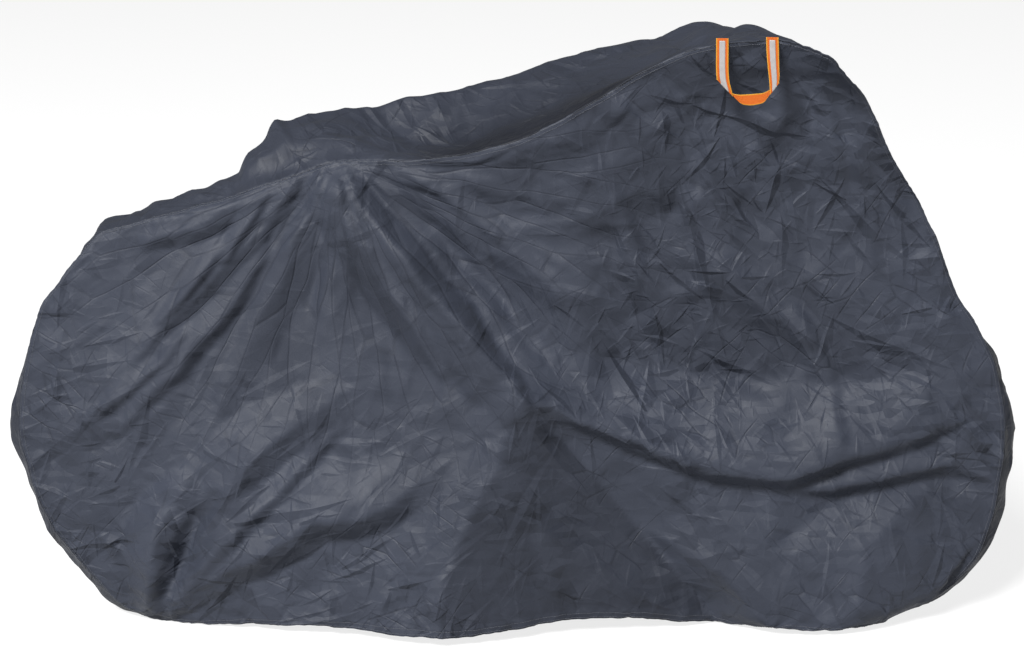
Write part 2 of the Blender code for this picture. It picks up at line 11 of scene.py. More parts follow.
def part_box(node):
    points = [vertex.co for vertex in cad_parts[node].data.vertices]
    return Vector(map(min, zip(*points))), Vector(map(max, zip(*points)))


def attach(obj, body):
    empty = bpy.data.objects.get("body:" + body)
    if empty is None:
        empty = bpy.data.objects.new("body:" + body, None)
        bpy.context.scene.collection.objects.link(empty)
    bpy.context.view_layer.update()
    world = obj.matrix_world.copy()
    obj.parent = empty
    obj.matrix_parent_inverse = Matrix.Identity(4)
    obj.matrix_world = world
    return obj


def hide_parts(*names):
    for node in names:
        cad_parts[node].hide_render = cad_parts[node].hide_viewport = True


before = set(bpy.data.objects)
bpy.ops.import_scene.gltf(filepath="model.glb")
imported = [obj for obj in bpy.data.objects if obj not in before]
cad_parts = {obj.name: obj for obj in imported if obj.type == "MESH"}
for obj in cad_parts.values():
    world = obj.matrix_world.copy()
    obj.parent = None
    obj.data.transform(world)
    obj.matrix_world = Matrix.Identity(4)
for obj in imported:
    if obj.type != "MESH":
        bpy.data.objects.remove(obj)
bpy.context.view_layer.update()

# ---- Camera, floor and lights -------------------------------------------------------------------
# Fitted cover for a whole bicycle, seen from its near side and a little above. It stands on a pale
# floor, under one large soft lamp at the front left and a weak one from the right.
CAMERA_PLACE = (0.0, -3.6, 1.45)
CAMERA_TARGET = (0.0, 0.0, 0.535)
CAMERA_LENS = 73.52                # millimetres
CAMERA_SENSOR = 36.0
FLOOR_SIZE = 60.0
FLOOR_COLOUR = (0.16, 0.16, 0.16, 1.0)
GLOW_COLOUR = (1.0, 1.0, 1.0, 1.0)
FLOOR_GLOW = 0.80
FLOOR_ROUGHNESS = 0.9
ROOM_COLOUR = (1.0, 1.0, 1.0, 1.0)
ROOM_STRENGTH = 0.25
LAMP_TARGET = (0.0, 0.0, 0.5)
LAMPS = [
    # name,         place (x, y, z),     size, watts
    ("key_lamp",    (-4.3, -8.6, 8.8),   3.3,  5150.0),
    ("fill_lamp",   (2.8, -4.2, 1.2),    2.0,  18.0),
]


def aim(thing, place, target):
    """Puts a camera or a lamp at a place and turns it to a target."""
    thing.location = place
    thing.rotation_euler = (Vector(target) - Vector(place)).to_track_quat("-Z", "Y").to_euler()


camera = bpy.data.objects.new("camera", bpy.data.cameras.new("camera"))
camera.data.lens = CAMERA_LENS
camera.data.sensor_width = CAMERA_SENSOR
aim(camera, CAMERA_PLACE, CAMERA_TARGET)
bpy.context.scene.collection.objects.link(camera)
bpy.context.scene.camera = camera

for name, place, size, watts in LAMPS:
    lamp = bpy.data.objects.new(name, bpy.data.lights.new(name, "AREA"))
    lamp.data.energy = watts
    lamp.data.size = size
    aim(lamp, place, LAMP_TARGET)
    bpy.context.scene.collection.objects.link(lamp)

room = bpy.data.worlds.new("room")
room.use_nodes = True
room.node_tree.nodes["Background"].inputs["Color"].default_value = ROOM_COLOUR
room.node_tree.nodes["Background"].inputs["Strength"].default_value = ROOM_STRENGTH
bpy.context.scene.world = room
bpy.context.scene.view_settings.view_transform = "Standard"

floor_mesh = bmesh.new()
bmesh.ops.create_grid(floor_mesh, x_segments=1, y_segments=1, size=FLOOR_SIZE / 2.0)
floor_data = bpy.data.meshes.new("floor")
floor_mesh.to_mesh(floor_data)
floor_mesh.free()
floor = bpy.data.objects.new("floor", floor_data)
bpy.context.scene.collection.objects.link(floor)
floor_finish = bpy.data.materials.new("pale_floor")
floor_finish.use_nodes = True
floor_shader = floor_finish.node_tree.nodes["Principled BSDF"]
floor_shader.inputs["Base Color"].default_value = FLOOR_COLOUR
floor_shader.inputs["Roughness"].default_value = FLOOR_ROUGHNESS
floor_shader.inputs["Emission Color"].default_value = GLOW_COLOUR
floor_shader.inputs["Emission Strength"].default_value = FLOOR_GLOW
floor_data.materials.append(floor_finish)

# ---- Near side panel ----------------------------------------------------------------------------
# One sheet of coated polyester taffeta, sewn to the centre strip along its whole curved edge and turned
# up into a stitched hem below. It is drawn taut from the saddle over the pedal, which pushes it
# out, and crumples into flat facets between the folds that run from them.
COLUMNS = 280                      # cells along the seam over the top
ROWS = 172                         # cells up each end, from the hem to the top
ACROSS = 40                        # cells of the centre strip from seam to seam
CLOTH_THICKNESS = 0.0014
CURVE_POINTS = 24                  # between each two given points of a smooth curve
CREST_ROUND = 0.0030               # radius of a fold's crest
FOLD_END = 0.35                    # a fold's height at its two ends, as a share of its middle's
FOLD_CELLS = 8
FOLD_NARROWED = 0.4                # how wide its flanks stay there, as a share
FOLDS_BEFORE = 0.5                 # share of a fold's height that the cloth has before it settles
FACETS_BEFORE = 0.40               # and of the large flat facets' height
WANDER_SPACING = 0.110             # folds wander sideways: how often, and how far
WANDER = 0.008
FACETS_WANDER = 0.6                # and the large facets' creases, as a share of that
APEX_SHARE = 0.25                  # how high folds are where they run together
APEX_REACH = 0.060
POST_TIP = 0.020                   # radius of the tip of what pushes the cloth out
FACET_SHIFT = 0.38                 # how far a facet's corner strays, as a share of the spacing
DRAWN_REACH = 0.75                 # facets are drawn out up to this far from the apex
DRAWN_EDGE = 1.3
DRAWN_FRONT = 0.25
DRAWN_FADE = 0.3
RAY_ALONG = 0.55                   # and how much, along the lines from it and across them
RAY_ACROSS = 0.45
RAY_SPACING = 0.75
SEAM_CALM = 0.040                  # folds die out over this distance from a seam
HEM_BAND = 0.018
SEAM_BAND = 0.010
HEM_TURN = 0.25                    # how far the hem rises where the cloth is pushed out
HEM_REACH = 0.090
BAND_RISE = 0.0009                 # how far a folded band of cloth stands proud
BAND_EDGE = 0.003
FLOOR_CLEAR = 0.0006
CLOTH_SETTINGS = {
    "quality": 6, "mass": 0.15, "tension_stiffness": 15.0, "compression_stiffness": 15.0,
    "shear_stiffness": 5.0, "bending_stiffness": 0.5, "tension_damping": 5.0,
    "compression_damping": 5.0, "shear_damping": 5.0, "bending_damping": 0.5, "air_damping": 3.0,
    "vertex_group_mass": "held", "pin_stiffness": 1.0,
}
SHAKE = 0.0008                     # uneven start, so that it buckles
RIPPLES_OUT = 3                    # rounds of smoothing of how the settling cloth moves
CALMING = 60                       # rounds of smoothing of the way in which creases stand out
CREASES_FADE = 0.012               # creases die out over this distance from a seam
INSIDE_POINT = (0.0, 0.0, 0.45)
POINTS_AT_ONCE = 4000

# One row for each place where the centre strip crosses the bicycle, from the rear hem over the top
# to the front hem. near and far: where it is sewn to the side panels. Each lip is a ridge of the
# strip: how far in from its seam, as a share of the width, and how far out from the straight line
# between the seams. middle: how far out the strip's middle line lies.
STRIP_SECTIONS = [
    # part,    near (x, y, z),          far (x, y, z),           near lip,       middle, far lip
    ("rear",  (-0.658, -0.045, 0.003), (-0.655, 0.045, 0.003), (0.25, 0.002), 0.003, (0.25, 0.002)),
    ("rear",  (-0.718, -0.050, 0.038), (-0.715, 0.050, 0.040), (0.25, 0.015), 0.019, (0.25, 0.015)),
    ("rear",  (-0.780, -0.055, 0.119), (-0.778, 0.055, 0.120), (0.25, 0.018), 0.022, (0.25, 0.018)),
    ("rear",  (-0.826, -0.060, 0.191), (-0.824, 0.060, 0.190), (0.25, 0.018), 0.022, (0.25, 0.018)),
    ("rear",  (-0.855, -0.066, 0.282), (-0.853, 0.065, 0.280), (0.25, 0.018), 0.023, (0.25, 0.018)),
    ("rear",  (-0.868, -0.068, 0.393), (-0.866, 0.065, 0.390), (0.25, 0.022), 0.026, (0.25, 0.022)),
    ("rear",  (-0.830, -0.066, 0.565), (-0.832, 0.065, 0.562), (0.25, 0.008), 0.010, (0.25, 0.008)),
    ("rear",  (-0.783, -0.064, 0.638), (-0.785, 0.062, 0.636), (0.25, 0.004), 0.004, (0.25, 0.004)),
    ("top",   (-0.714, -0.062, 0.720), (-0.715, 0.060, 0.720), (0.25, 0.006), 0.008, (0.25, 0.008)),
    ("top",   (-0.541, -0.080, 0.770), (-0.545, 0.080, 0.765), (0.25, 0.020), 0.026, (0.25, 0.020)),
    ("top",   (-0.474, -0.082, 0.789), (-0.480, 0.085, 0.790), (0.25, 0.028), 0.040, (0.25, 0.032)),
    ("top",   (-0.436, -0.084, 0.803), (-0.442, 0.087, 0.805), (0.25, 0.040), 0.059, (0.25, 0.048)),
    ("top",   (-0.402, -0.085, 0.814), (-0.410, 0.090, 0.818), (0.25, 0.044), 0.062, (0.25, 0.052)),
    ("top",   (-0.373, -0.086, 0.823), (-0.382, 0.094, 0.828), (0.25, 0.052), 0.076, (0.28, 0.082)),
    ("top",   (-0.292, -0.090, 0.849), (-0.300, 0.105, 0.850), (0.16, 0.030), 0.056, (0.18, 0.067)),
    ("top",   (-0.148, -0.120, 0.858), (-0.170, 0.135, 0.865), (0.07, 0.008), 0.010, (0.12, 0.077)),
    ("top",   (-0.005, -0.155, 0.891), (-0.040, 0.168, 0.905), (0.06, 0.010), 0.002, (0.10, 0.069)),
    ("top",   (0.107, -0.180, 0.948),  (0.060, 0.190, 0.941),  (0.06, 0.009), -0.004, (0.08, 0.053)),
    ("top",   (0.213, -0.200, 1.015),  (0.160, 0.212, 0.972),  (0.06, 0.008), -0.004, (0.06, 0.043)),
    ("top",   (0.296, -0.215, 1.054),  (0.240, 0.232, 0.998),  (0.06, 0.008), 0.004, (0.05, 0.031)),
    ("top",   (0.398, -0.230, 1.070),  (0.312, 0.254, 1.014),  (0.08, 0.010), 0.020, (0.05, 0.034)),
    ("top",   (0.456, -0.240, 1.066),  (0.350, 0.258, 1.014),  (0.08, 0.012), 0.036, (0.05, 0.034)),
    ("front", (0.514, -0.250, 1.043),  (0.390, 0.258, 1.000),  (0.08, 0.014), 0.036, (0.06, 0.024)),
    ("front", (0.545, -0.227, 1.006),  (0.440, 0.236, 0.962),  (0.15, 0.010), 0.022, (0.10, 0.020)),
    ("front", (0.583, -0.192, 0.963),  (0.505, 0.195, 0.905),  (0.20, 0.006), 0.012, (0.20, 0.010)),
    ("front", (0.637, -0.142, 0.863),  (0.590, 0.145, 0.815),  (0.25, 0.004), 0.008, (0.25, 0.006)),
    ("front", (0.689, -0.102, 0.786),  (0.660, 0.105, 0.755),  (0.25, 0.004), 0.008, (0.25, 0.006)),
    ("front", (0.735, -0.080, 0.700),  (0.720, 0.084, 0.680),  (0.25, 0.004), 0.008, (0.25, 0.006)),
    ("front", (0.769, -0.070, 0.618),  (0.762, 0.072, 0.605),  (0.25, 0.006), 0.008, (0.25, 0.006)),
    ("front", (0.809, -0.065, 0.558),  (0.805, 0.066, 0.548),  (0.25, 0.008), 0.010, (0.25, 0.008)),
    ("front", (0.851, -0.060, 0.474),  (0.850, 0.062, 0.468),  (0.25, 0.014), 0.018, (0.25, 0.014)),
    ("front", (0.872, -0.060, 0.372),  (0.870, 0.060, 0.370),  (0.25, 0.020), 0.026, (0.25, 0.020)),
    ("front", (0.869, -0.060, 0.268),  (0.868, 0.060, 0.270),  (0.25, 0.020), 0.026, (0.25, 0.020)),
    ("front", (0.852, -0.060, 0.166),  (0.852, 0.060, 0.168),  (0.25, 0.020), 0.026, (0.25, 0.020)),
    ("front", (0.819, -0.055, 0.096),  (0.819, 0.055, 0.098),  (0.25, 0.018), 0.024, (0.25, 0.018)),
    ("front", (0.765, -0.050, 0.043),  (0.765, 0.050, 0.044),  (0.25, 0.013), 0.016, (0.25, 0.013)),
    ("front", (0.687, -0.045, 0.004),  (0.687, 0.045, 0.005),  (0.25, 0.002), 0.003, (0.25, 0.002)),
]
NEAR_HEM = [
    (-0.610, -0.060, 0.001), (-0.511, -0.085, 0.007), (-0.414, -0.110, 0.016), (-0.306, -0.130, 0.019),
    (-0.198, -0.152, 0.014), (-0.074, -0.160, 0.016), (0.014, -0.155, 0.026), (0.100, -0.138, 0.034),
    (0.191, -0.136, 0.036), (0.335, -0.120, 0.019), (0.444, -0.100, 0.010), (0.555, -0.082, 0.001),
    (0.640, -0.056, 0.001),
]
# What pushes the panel out, from inside: (x, z), reach, height.
NEAR_POSTS = [
    ("pedal",     (0.022, 0.450),  0.130, 0.062),
    ("saddle",    (-0.300, 0.815), 0.110, 0.010),
    ("front hub", (0.545, 0.330),  0.150, 0.012),
    ("rear hub",  (-0.505, 0.330), 0.170, 0.014),
]
# Each crest runs through its (x, z) points. Its rear and front flanks fall off over their own
# widths, and height is how far it stands out. A negative height is a valley.
NEAR_FOLDS = [
    # name, crest points, rear width, front width, height
    ("saddle to pedal", [(-0.290, 0.846), (-0.256, 0.784), (-0.198, 0.722), (-0.154, 0.660),
                         (-0.082, 0.574), (0.012, 0.470)], 0.110, 0.030, 0.040),
    ("beside it", [(-0.294, 0.818), (-0.273, 0.742), (-0.204, 0.649), (-0.146, 0.538),
                   (-0.108, 0.455)], 0.060, 0.016, 0.010),
    ("ahead of it", [(-0.213, 0.828), (-0.121, 0.725), (-0.020, 0.621), (0.048, 0.533)],
     0.024, 0.110, -0.014),
    ("second fan", [(-0.188, 0.840), (-0.104, 0.786), (0.013, 0.690), (0.082, 0.621)],
     0.050, 0.028, 0.012),
    ("wheel long", [(-0.363, 0.822), (-0.420, 0.751), (-0.522, 0.638), (-0.617, 0.542),
                    (-0.717, 0.418)], 0.080, 0.022, 0.010),
    ("narrow ridge", [(-0.323, 0.833), (-0.345, 0.772), (-0.391, 0.668), (-0.439, 0.577),
                      (-0.462, 0.519), (-0.511, 0.445)], 0.022, 0.050, 0.008),
    ("chain stay", [(-0.424, 0.708), (-0.476, 0.604), (-0.569, 0.498), (-0.692, 0.373)],
     0.050, 0.020, 0.010),
    ("wheel middle", [(-0.420, 0.816), (-0.491, 0.768), (-0.541, 0.739), (-0.628, 0.708)],
     0.030, 0.030, 0.014),
    ("along the seam", [(-0.440, 0.812), (-0.516, 0.782), (-0.608, 0.742)], 0.020, 0.022, 0.011),
    ("thin, high", [(-0.422, 0.796), (-0.468, 0.722), (-0.486, 0.684)], 0.020, 0.010, 0.008),
    ("thin, low", [(-0.496, 0.694), (-0.545, 0.640), (-0.602, 0.576)], 0.022, 0.010, 0.009),
    ("thin, below", [(-0.560, 0.545), (-0.640, 0.470), (-0.745, 0.385)], 0.024, 0.012, 0.009),
    ("right of the ridge", [(-0.292, 0.822), (-0.300, 0.740), (-0.322, 0.640), (-0.345, 0.560)],
     0.022, 0.060, 0.009),
    ("low rear short", [(-0.313, 0.427), (-0.462, 0.327), (-0.559, 0.171)], 0.080, 0.046, 0.021),
    ("low rear strong", [(-0.148, 0.300), (-0.247, 0.241), (-0.351, 0.230), (-0.410, 0.174),
                         (-0.480, 0.144), (-0.567, 0.083), (-0.612, 0.045)], 0.110, 0.052, 0.027),
    ("corner line", [(-0.297, 0.389), (-0.419, 0.269), (-0.483, 0.208), (-0.606, 0.063)],
     0.060, 0.022, 0.014),
    ("rear corner", [(-0.576, 0.282), (-0.631, 0.162), (-0.650, 0.056)], 0.060, 0.045, 0.030),
    ("corner valley", [(-0.516, 0.264), (-0.579, 0.152), (-0.625, 0.050)], 0.030, 0.040, -0.014),
    ("bar rear", [(0.080, 0.940), (0.131, 0.853), (0.187, 0.750), (0.226, 0.647), (0.263, 0.547)],
     0.050, 0.020, 0.005),
    ("bar middle", [(0.313, 0.890), (0.369, 0.822), (0.441, 0.784)], 0.035, 0.030, 0.007),
    ("bar front", [(0.463, 0.979), (0.432, 0.920), (0.408, 0.878)], 0.030, 0.020, 0.004),
    ("grip", [(0.519, 0.957), (0.533, 0.902), (0.559, 0.812)], 0.040, 0.020, 0.010),
    ("grip, second", [(0.562, 0.890), (0.603, 0.822)], 0.030, 0.020, 0.007),
    ("fork upper", [(0.360, 0.670), (0.451, 0.577), (0.511, 0.537)], 0.040, 0.050, 0.015),
    ("fork lower", [(0.490, 0.586), (0.564, 0.445)], 0.040, 0.025, 0.010),
    ("fork, third", [(0.547, 0.445), (0.573, 0.355)], 0.040, 0.020, 0.008),
    ("front rim", [(0.733, 0.498), (0.667, 0.373)], 0.030, 0.030, 0.004),
    ("under the bar", [(0.014, 0.568), (0.151, 0.507), (0.323, 0.472), (0.495, 0.455),
                       (0.640, 0.450)], 0.140, 0.200, -0.034),
]
# The large flat facets between the pedal, the front wheel and the hem: corners (x, z) with how far
# each stands out, joined along these creases.
NEAR_CORNERS = {
    "left top": (-0.021, 0.480, 0.000), "left": (-0.141, 0.318, 0.000),
    "left low": (-0.223, 0.150, 0.000), "left hem": (-0.283, -0.020, 0.000),
    "pedal": (0.030, 0.436, 0.002), "tent top": (0.002, 0.400, 0.014), "tent": (-0.061, 0.264, 0.036),
    "tent low": (-0.114, 0.130, 0.042), "tent hem": (-0.135, -0.020, 0.026),
    "slope": (0.036, 0.228, 0.004), "slope hem": (0.049, -0.020, -0.020),
    "flank": (0.170, 0.100, -0.014),
    "pocket top": (0.066, 0.403, -0.008), "pocket": (0.142, 0.302, -0.026),
    "pocket low": (0.228, 0.190, -0.050), "pocket hem": (0.395, -0.020, -0.056),
    "leaf": (0.310, 0.230, -0.016), "leaf low": (0.370, 0.120, 0.002), "leaf middle": (0.452, 0.160, 0.006),
    "leaf front": (0.620, 0.160, 0.020), "leaf hem": (0.500, -0.020, 0.044),
    "leaf hem middle": (0.600, -0.020, 0.064), "front hem": (0.720, -0.020, 0.050),
    "front low": (0.830, 0.155, 0.000), "front": (0.870, 0.260, 0.000),
    "lip start": (0.062, 0.434, 0.012), "lip one": (0.117, 0.402, 0.020), "lip two": (0.204, 0.372, 0.026),
    "lip three": (0.345, 0.308, 0.023), "lip four": (0.486, 0.296, 0.021), "lip five": (0.599, 0.330, 0.020),
    "lip six": (0.711, 0.362, 0.018), "lip end": (0.820, 0.392, 0.004),
    "under one": (0.126, 0.374, -0.012), "under two": (0.204, 0.338, -0.018),
    "under three": (0.345, 0.280, -0.014), "under four": (0.486, 0.264, -0.014),
    "under five": (0.600, 0.306, -0.006), "under six": (0.712, 0.332, -0.006),
    "second lip": (0.570, 0.270, 0.006), "second lip end": (0.767, 0.312, 0.012),
    "second under": (0.570, 0.241, -0.024), "second under end": (0.768, 0.283, -0.014),
    "top one": (0.150, 0.475, 0.000), "top two": (0.342, 0.462, 0.000), "top three": (0.483, 0.462, 0.000),
    "top four": (0.600, 0.470, 0.000), "top five": (0.710, 0.470, 0.000), "top end": (0.830, 0.450, 0.000),
}
NEAR_JOINS = [
    ("pedal", "tent top", "tent", "tent low", "tent hem"), ("tent top", "slope", "slope hem"),
    ("slope", "flank"), ("pedal", "pocket top", "pocket", "pocket low", "pocket hem"),
    ("leaf", "leaf low"),
    ("pedal", "lip start", "lip one", "lip two", "lip three", "lip four", "lip five", "lip six", "lip end"),
    ("lip start", "under one", "under two", "under three", "under four", "under five", "under six",
     "lip end"),
    ("under four", "second lip", "second lip end"), ("under four", "second under", "second under end"),
    ("leaf", "leaf middle", "leaf front"), ("left top", "left", "left low", "left hem"),
    ("left top", "top one", "top two", "top three", "top four", "top five", "top end", "front",
     "front low"),
]
# Fields of flat facets: name, spacing, height.
CRUMPLES = [
    ("large",  0.120, 0.0058),
    ("middle", 0.060, 0.0036),
    ("small",  0.030, 0.0009),
]
# Sharp creases: how many, lengths, widths of the broad and of the steep flank, heights.
CREASES = [
    (90,   (0.140, 0.320), (0.022, 0.060), (0.0070, 0.012), (0.0016, 0.0034)),
    (420,  (0.060, 0.160), (0.012, 0.032), (0.0050, 0.0075), (0.0010, 0.0024)),
    (700,  (0.025, 0.070), (0.008, 0.018), (0.0045, 0.0060), (0.0006, 0.0015)),
]
PLAIN_SHARE = 0.55                 # how crumpled the cloth is elsewhere
CRUMPLED_MORE = 0.6
HEADING_KEPT = 0.85                # how strongly creases keep to the lines from a taut point
# Points that the cloth is drawn taut from: (x, z), reach.
NEAR_TAUT = [((-0.292, 0.851), 0.60), ((0.022, 0.450), 0.30), ((-0.620, 0.030), 0.30),
             ((0.520, 1.020), 0.30)]
# Where the cloth is crumpled most, and least: (x, z), reach, share.
CRUMPLED_PLACES = [
    ((0.230, 0.700), 0.300, 0.9),
    ((0.100, 0.850), 0.200, 0.5),
    ((-0.560, 0.350), 0.250, 0.2),
    ((0.400, 0.130), 0.250, -0.60),
    ((0.060, 0.180), 0.150, -0.50),
    ((-0.450, 0.650), 0.200, -0.35),
]


def smooth_curve(points, cells):
    """Evenly spaced points along a smooth curve through the given points."""
    points = np.array(points, dtype=float)
    before = 2.0 * points[0] - points[1]
    after = 2.0 * points[-1] - points[-2]
    padded = np.vstack([before, points, after])
    share = np.linspace(0.0, 1.0, CURVE_POINTS, endpoint=False)[:, None]
    pieces = []
    for index in range(len(points) - 1):
        p0, p1, p2, p3 = padded[index:index + 4]
        bend = 2.0 * p0 - 5.0 * p1 + 4.0 * p2 - p3
        turn = 3.0 * p1 - p0 - 3.0 * p2 + p3
        pieces.append(0.5 * (2.0 * p1 + (p2 - p0) * share + bend * share**2 + turn * share**3))
    dense = np.vstack(pieces + [points[-1:]])
    along = run_along(dense[:, :3])
    wanted = np.linspace(0.0, along[-1], cells + 1)
    return np.column_stack([np.interp(wanted, along, column) for column in dense.T])


def unit(vectors):
    """The vectors, each one metre long."""
    return vectors / np.maximum(np.linalg.norm(vectors, axis=-1, keepdims=True), 1e-12)


def run_along(line):
    """How far along a line each of its points lies."""
    return np.concatenate([[0.0], np.cumsum(np.linalg.norm(np.diff(line, axis=0), axis=1))])


def smoothed(field, rounds):
    """The field after each of its points has been averaged with its neighbours, for some rounds."""
    for _turn in range(rounds):
        field[1:-1] = (field[:-2] + 2.0 * field[1:-1] + field[2:]) / 4.0
        field[:, 1:-1] = (field[:, :-2] + 2.0 * field[:, 1:-1] + field[:, 2:]) / 4.0
    return field


def ease(share):
    """A smooth step from 0 to 1."""
    share = np.clip(share, 0.0, 1.0)
    return share * share * (3.0 - 2.0 * share)


def coons(hem, rear, top, front):
    """A surface that fills four edges. It has a row for each point up and a column for each along."""
    up = np.linspace(0.0, 1.0, len(rear))[:, None, None]
    along = np.linspace(0.0, 1.0, len(hem))[None, :, None]
    between_hem_and_top = (1.0 - up) * hem[None, :, :] + up * top[None, :, :]
    between_rear_and_front = (1.0 - along) * rear[:, None, :] + along * front[:, None, :]
    low = (1.0 - along) * hem[0] + along * hem[-1]
    high = (1.0 - along) * top[0] + along * top[-1]
    return between_hem_and_top + between_rear_and_front - ((1.0 - up) * low + up * high)


def fold_height(x, z, crest, rear_width, front_width, height):
    """How far one fold lifts the panel at each (x, z): a tent with straight flanks."""
    crest = smooth_curve(crest, FOLD_CELLS)
    falling = crest[0][1] > crest[-1][1]
    lift = np.zeros_like(x)
    for index in range(len(crest) - 1):
        start, end = crest[index], crest[index + 1]
        run = end - start
        length = np.hypot(*run)
        share = np.clip(((x - start[0]) * run[0] + (z - start[1]) * run[1]) / length**2, 0.0, 1.0)
        side = (x - start[0]) * run[1] - (z - start[1]) * run[0]
        gap = np.hypot(x - start[0] - share * run[0], z - start[1] - share * run[1])
        gap = np.hypot(gap, CREST_ROUND) - CREST_ROUND
        ahead = (side < 0.0) if falling else (side > 0.0)
        width = np.where(ahead, front_width, rear_width)
        place = (index + share) / (len(crest) - 1)
        taper = FOLD_END + (1.0 - FOLD_END) * np.sin(np.pi * place)
        width = width * (FOLD_NARROWED + (1.0 - FOLD_NARROWED) * taper)
        lift = np.maximum(lift, (1.0 - gap / width) * taper)
    return height * lift


def height_over(points, triangles, first, second):
    """The height of a net of triangles at each place, and 0 where there is none."""
    tree = BVHTree.FromPolygons(points, triangles)
    down = Vector((0.0, 0.0, -1.0))
    field = np.zeros(first.size)
    for index, (across, up) in enumerate(zip(first.ravel().tolist(), second.ravel().tolist())):
        hit = tree.ray_cast((across, up, 2.0), down)[0]
        if hit is not None:
            field[index] = hit.z
    return field.reshape(first.shape)


def net_height(x, z, corners, joins):
    """How far the large facets lift the panel at each (x, z)."""
    names = list(corners)
    edges = [(names.index(start), names.index(end)) for run in joins for start, end in zip(run, run[1:])]
    places = [Vector(corners[name][:2]) for name in names]
    found = delaunay_2d_cdt(places, edges, [], 0, 1e-6)
    heights = [corners[names[sources[0]]][2] for sources in found[3]]
    points = [(place.x, place.y, height) for place, height in zip(found[0], heights)]
    return height_over(points, found[2], x, z)


def facets(first, second, spacing, seed):
    """A crumpled field over two coordinates: flat triangles between points of random height."""
    rng = np.random.default_rng(seed)
    low = np.array([first.min(), second.min()]) - 2.0 * spacing
    high = np.array([first.max(), second.max()]) + 2.0 * spacing
    counts = np.ceil((high - low) / spacing).astype(int) + 1
    grid_first, grid_second = np.meshgrid(np.arange(counts[0]), np.arange(counts[1]), indexing="ij")
    spots = np.stack([grid_first, grid_second], axis=-1) * spacing + low
    spots += rng.uniform(-FACET_SHIFT, FACET_SHIFT, spots.shape) * spacing
    heights = rng.uniform(-1.0, 1.0, counts)
    points = np.concatenate([spots, heights[:, :, None]], axis=-1).reshape(-1, 3)
    number = np.arange(counts[0] * counts[1]).reshape(counts)
    corners = [number[:-1, :-1], number[1:, :-1], number[1:, 1:], number[:-1, 1:]]
    leaning = rng.random(corners[0].shape) < 0.5
    triangles = []
    for which, order in ((leaning, ((0, 1, 2), (0, 2, 3))), (~leaning, ((0, 1, 3), (1, 2, 3)))):
        for picked in order:
            triangles.append(np.stack([corners[corner][which] for corner in picked], axis=-1))
    return height_over(points.tolist(), np.concatenate(triangles).tolist(), first, second)


def creases(x, z, kinds_of_crease, density, heading, seed):
    """Short straight folds, sown at random: how far they lift the cloth at each (x, z).

    Each has one broad flank and one steep one and dies out at its ends. density gives how many lie
    at a place, from 0 to 1, and heading the way they run there and how strongly they keep to it.
    """
    rng = np.random.default_rng(seed)
    lift = np.zeros_like(x)
    low = np.array([x.min(), z.min()])
    size = np.array([x.max(), z.max()]) - low
    for count, lengths, broad_widths, steep_widths, heights in kinds_of_crease:
        for _one in range(count):
            place = low + size * rng.random(2)
            chance, turn, length, broad, steep, height, side = rng.random(7)
            angle, keeping = heading(place)
            angle += (turn - 0.5) * np.pi * (1.0 - keeping)
            length = lengths[0] + length**2 * (lengths[1] - lengths[0])
            size_share = (length - lengths[0]) / (lengths[1] - lengths[0])
            broad = broad_widths[0] + (0.5 * broad + 0.5 * size_share) * (broad_widths[1] - broad_widths[0])
            steep = steep_widths[0] + (0.5 * steep + 0.5 * size_share) * (steep_widths[1] - steep_widths[0])
            height = heights[0] + (0.5 * height + 0.5 * size_share) * (heights[1] - heights[0])
            if chance > density(place):
                continue
            way = np.array([np.cos(angle), np.sin(angle)])
            reach = length / 2.0 + broad
            near = (np.abs(x - place[0]) < reach) & (np.abs(z - place[1]) < reach)
            off_x = x[near] - place[0]
            off_z = z[near] - place[1]
            share = np.abs(off_x * way[0] + off_z * way[1]) / (length / 2.0)
            gap = off_z * way[0] - off_x * way[1]
            gap = gap if side < 0.5 else -gap
            taper = np.clip(1.0 - share, 0.0, 1.0)
            taper = np.sqrt(taper)
            width = np.where(gap > 0.0, broad, steep) * (0.3 + 0.7 * taper)
            lift[near] += height * taper * np.clip(1.0 - np.abs(gap) / width, 0.0, 1.0)
    return lift


def to_seam(surface, seam):
    """For each point of a surface, its distance to a seam and how far along the seam that is."""
    points = surface.reshape(-1, 3)
    run = run_along(seam)
    gap = np.empty(len(points))
    place = np.empty(len(points))
    for start in range(0, len(points), POINTS_AT_ONCE):
        part = points[start:start + POINTS_AT_ONCE]
        away = np.linalg.norm(part[:, None, :] - seam[None, :, :], axis=2)
        nearest = away.argmin(axis=1)
        gap[start:start + POINTS_AT_ONCE] = away[np.arange(len(part)), nearest]
        place[start:start + POINTS_AT_ONCE] = run[nearest]
    return gap.reshape(surface.shape[:2]), place.reshape(surface.shape[:2])


def normals_of(surface, hint):
    """Unit normals of a surface's points, turned to the side that the hint points to."""
    up_rows, along_columns = np.gradient(surface, axis=(0, 1))
    normals = unit(np.cross(along_columns, up_rows))
    return normals * np.sign(np.sum(normals * hint, axis=-1, keepdims=True))


def puckers(run, pitch, seed):
    """Uneven wrinkles along a seam, from -1 to 1, with the given mean distance between crests."""
    rng = np.random.default_rng(seed)
    knots = np.cumsum(rng.uniform(0.3, 0.7, int(8.0 / pitch)) * pitch)
    signs = np.where(np.arange(len(knots)) % 2 == 0, 1.0, -1.0)
    return np.interp(run, knots, signs * rng.uniform(0.3, 1.0, len(knots)))


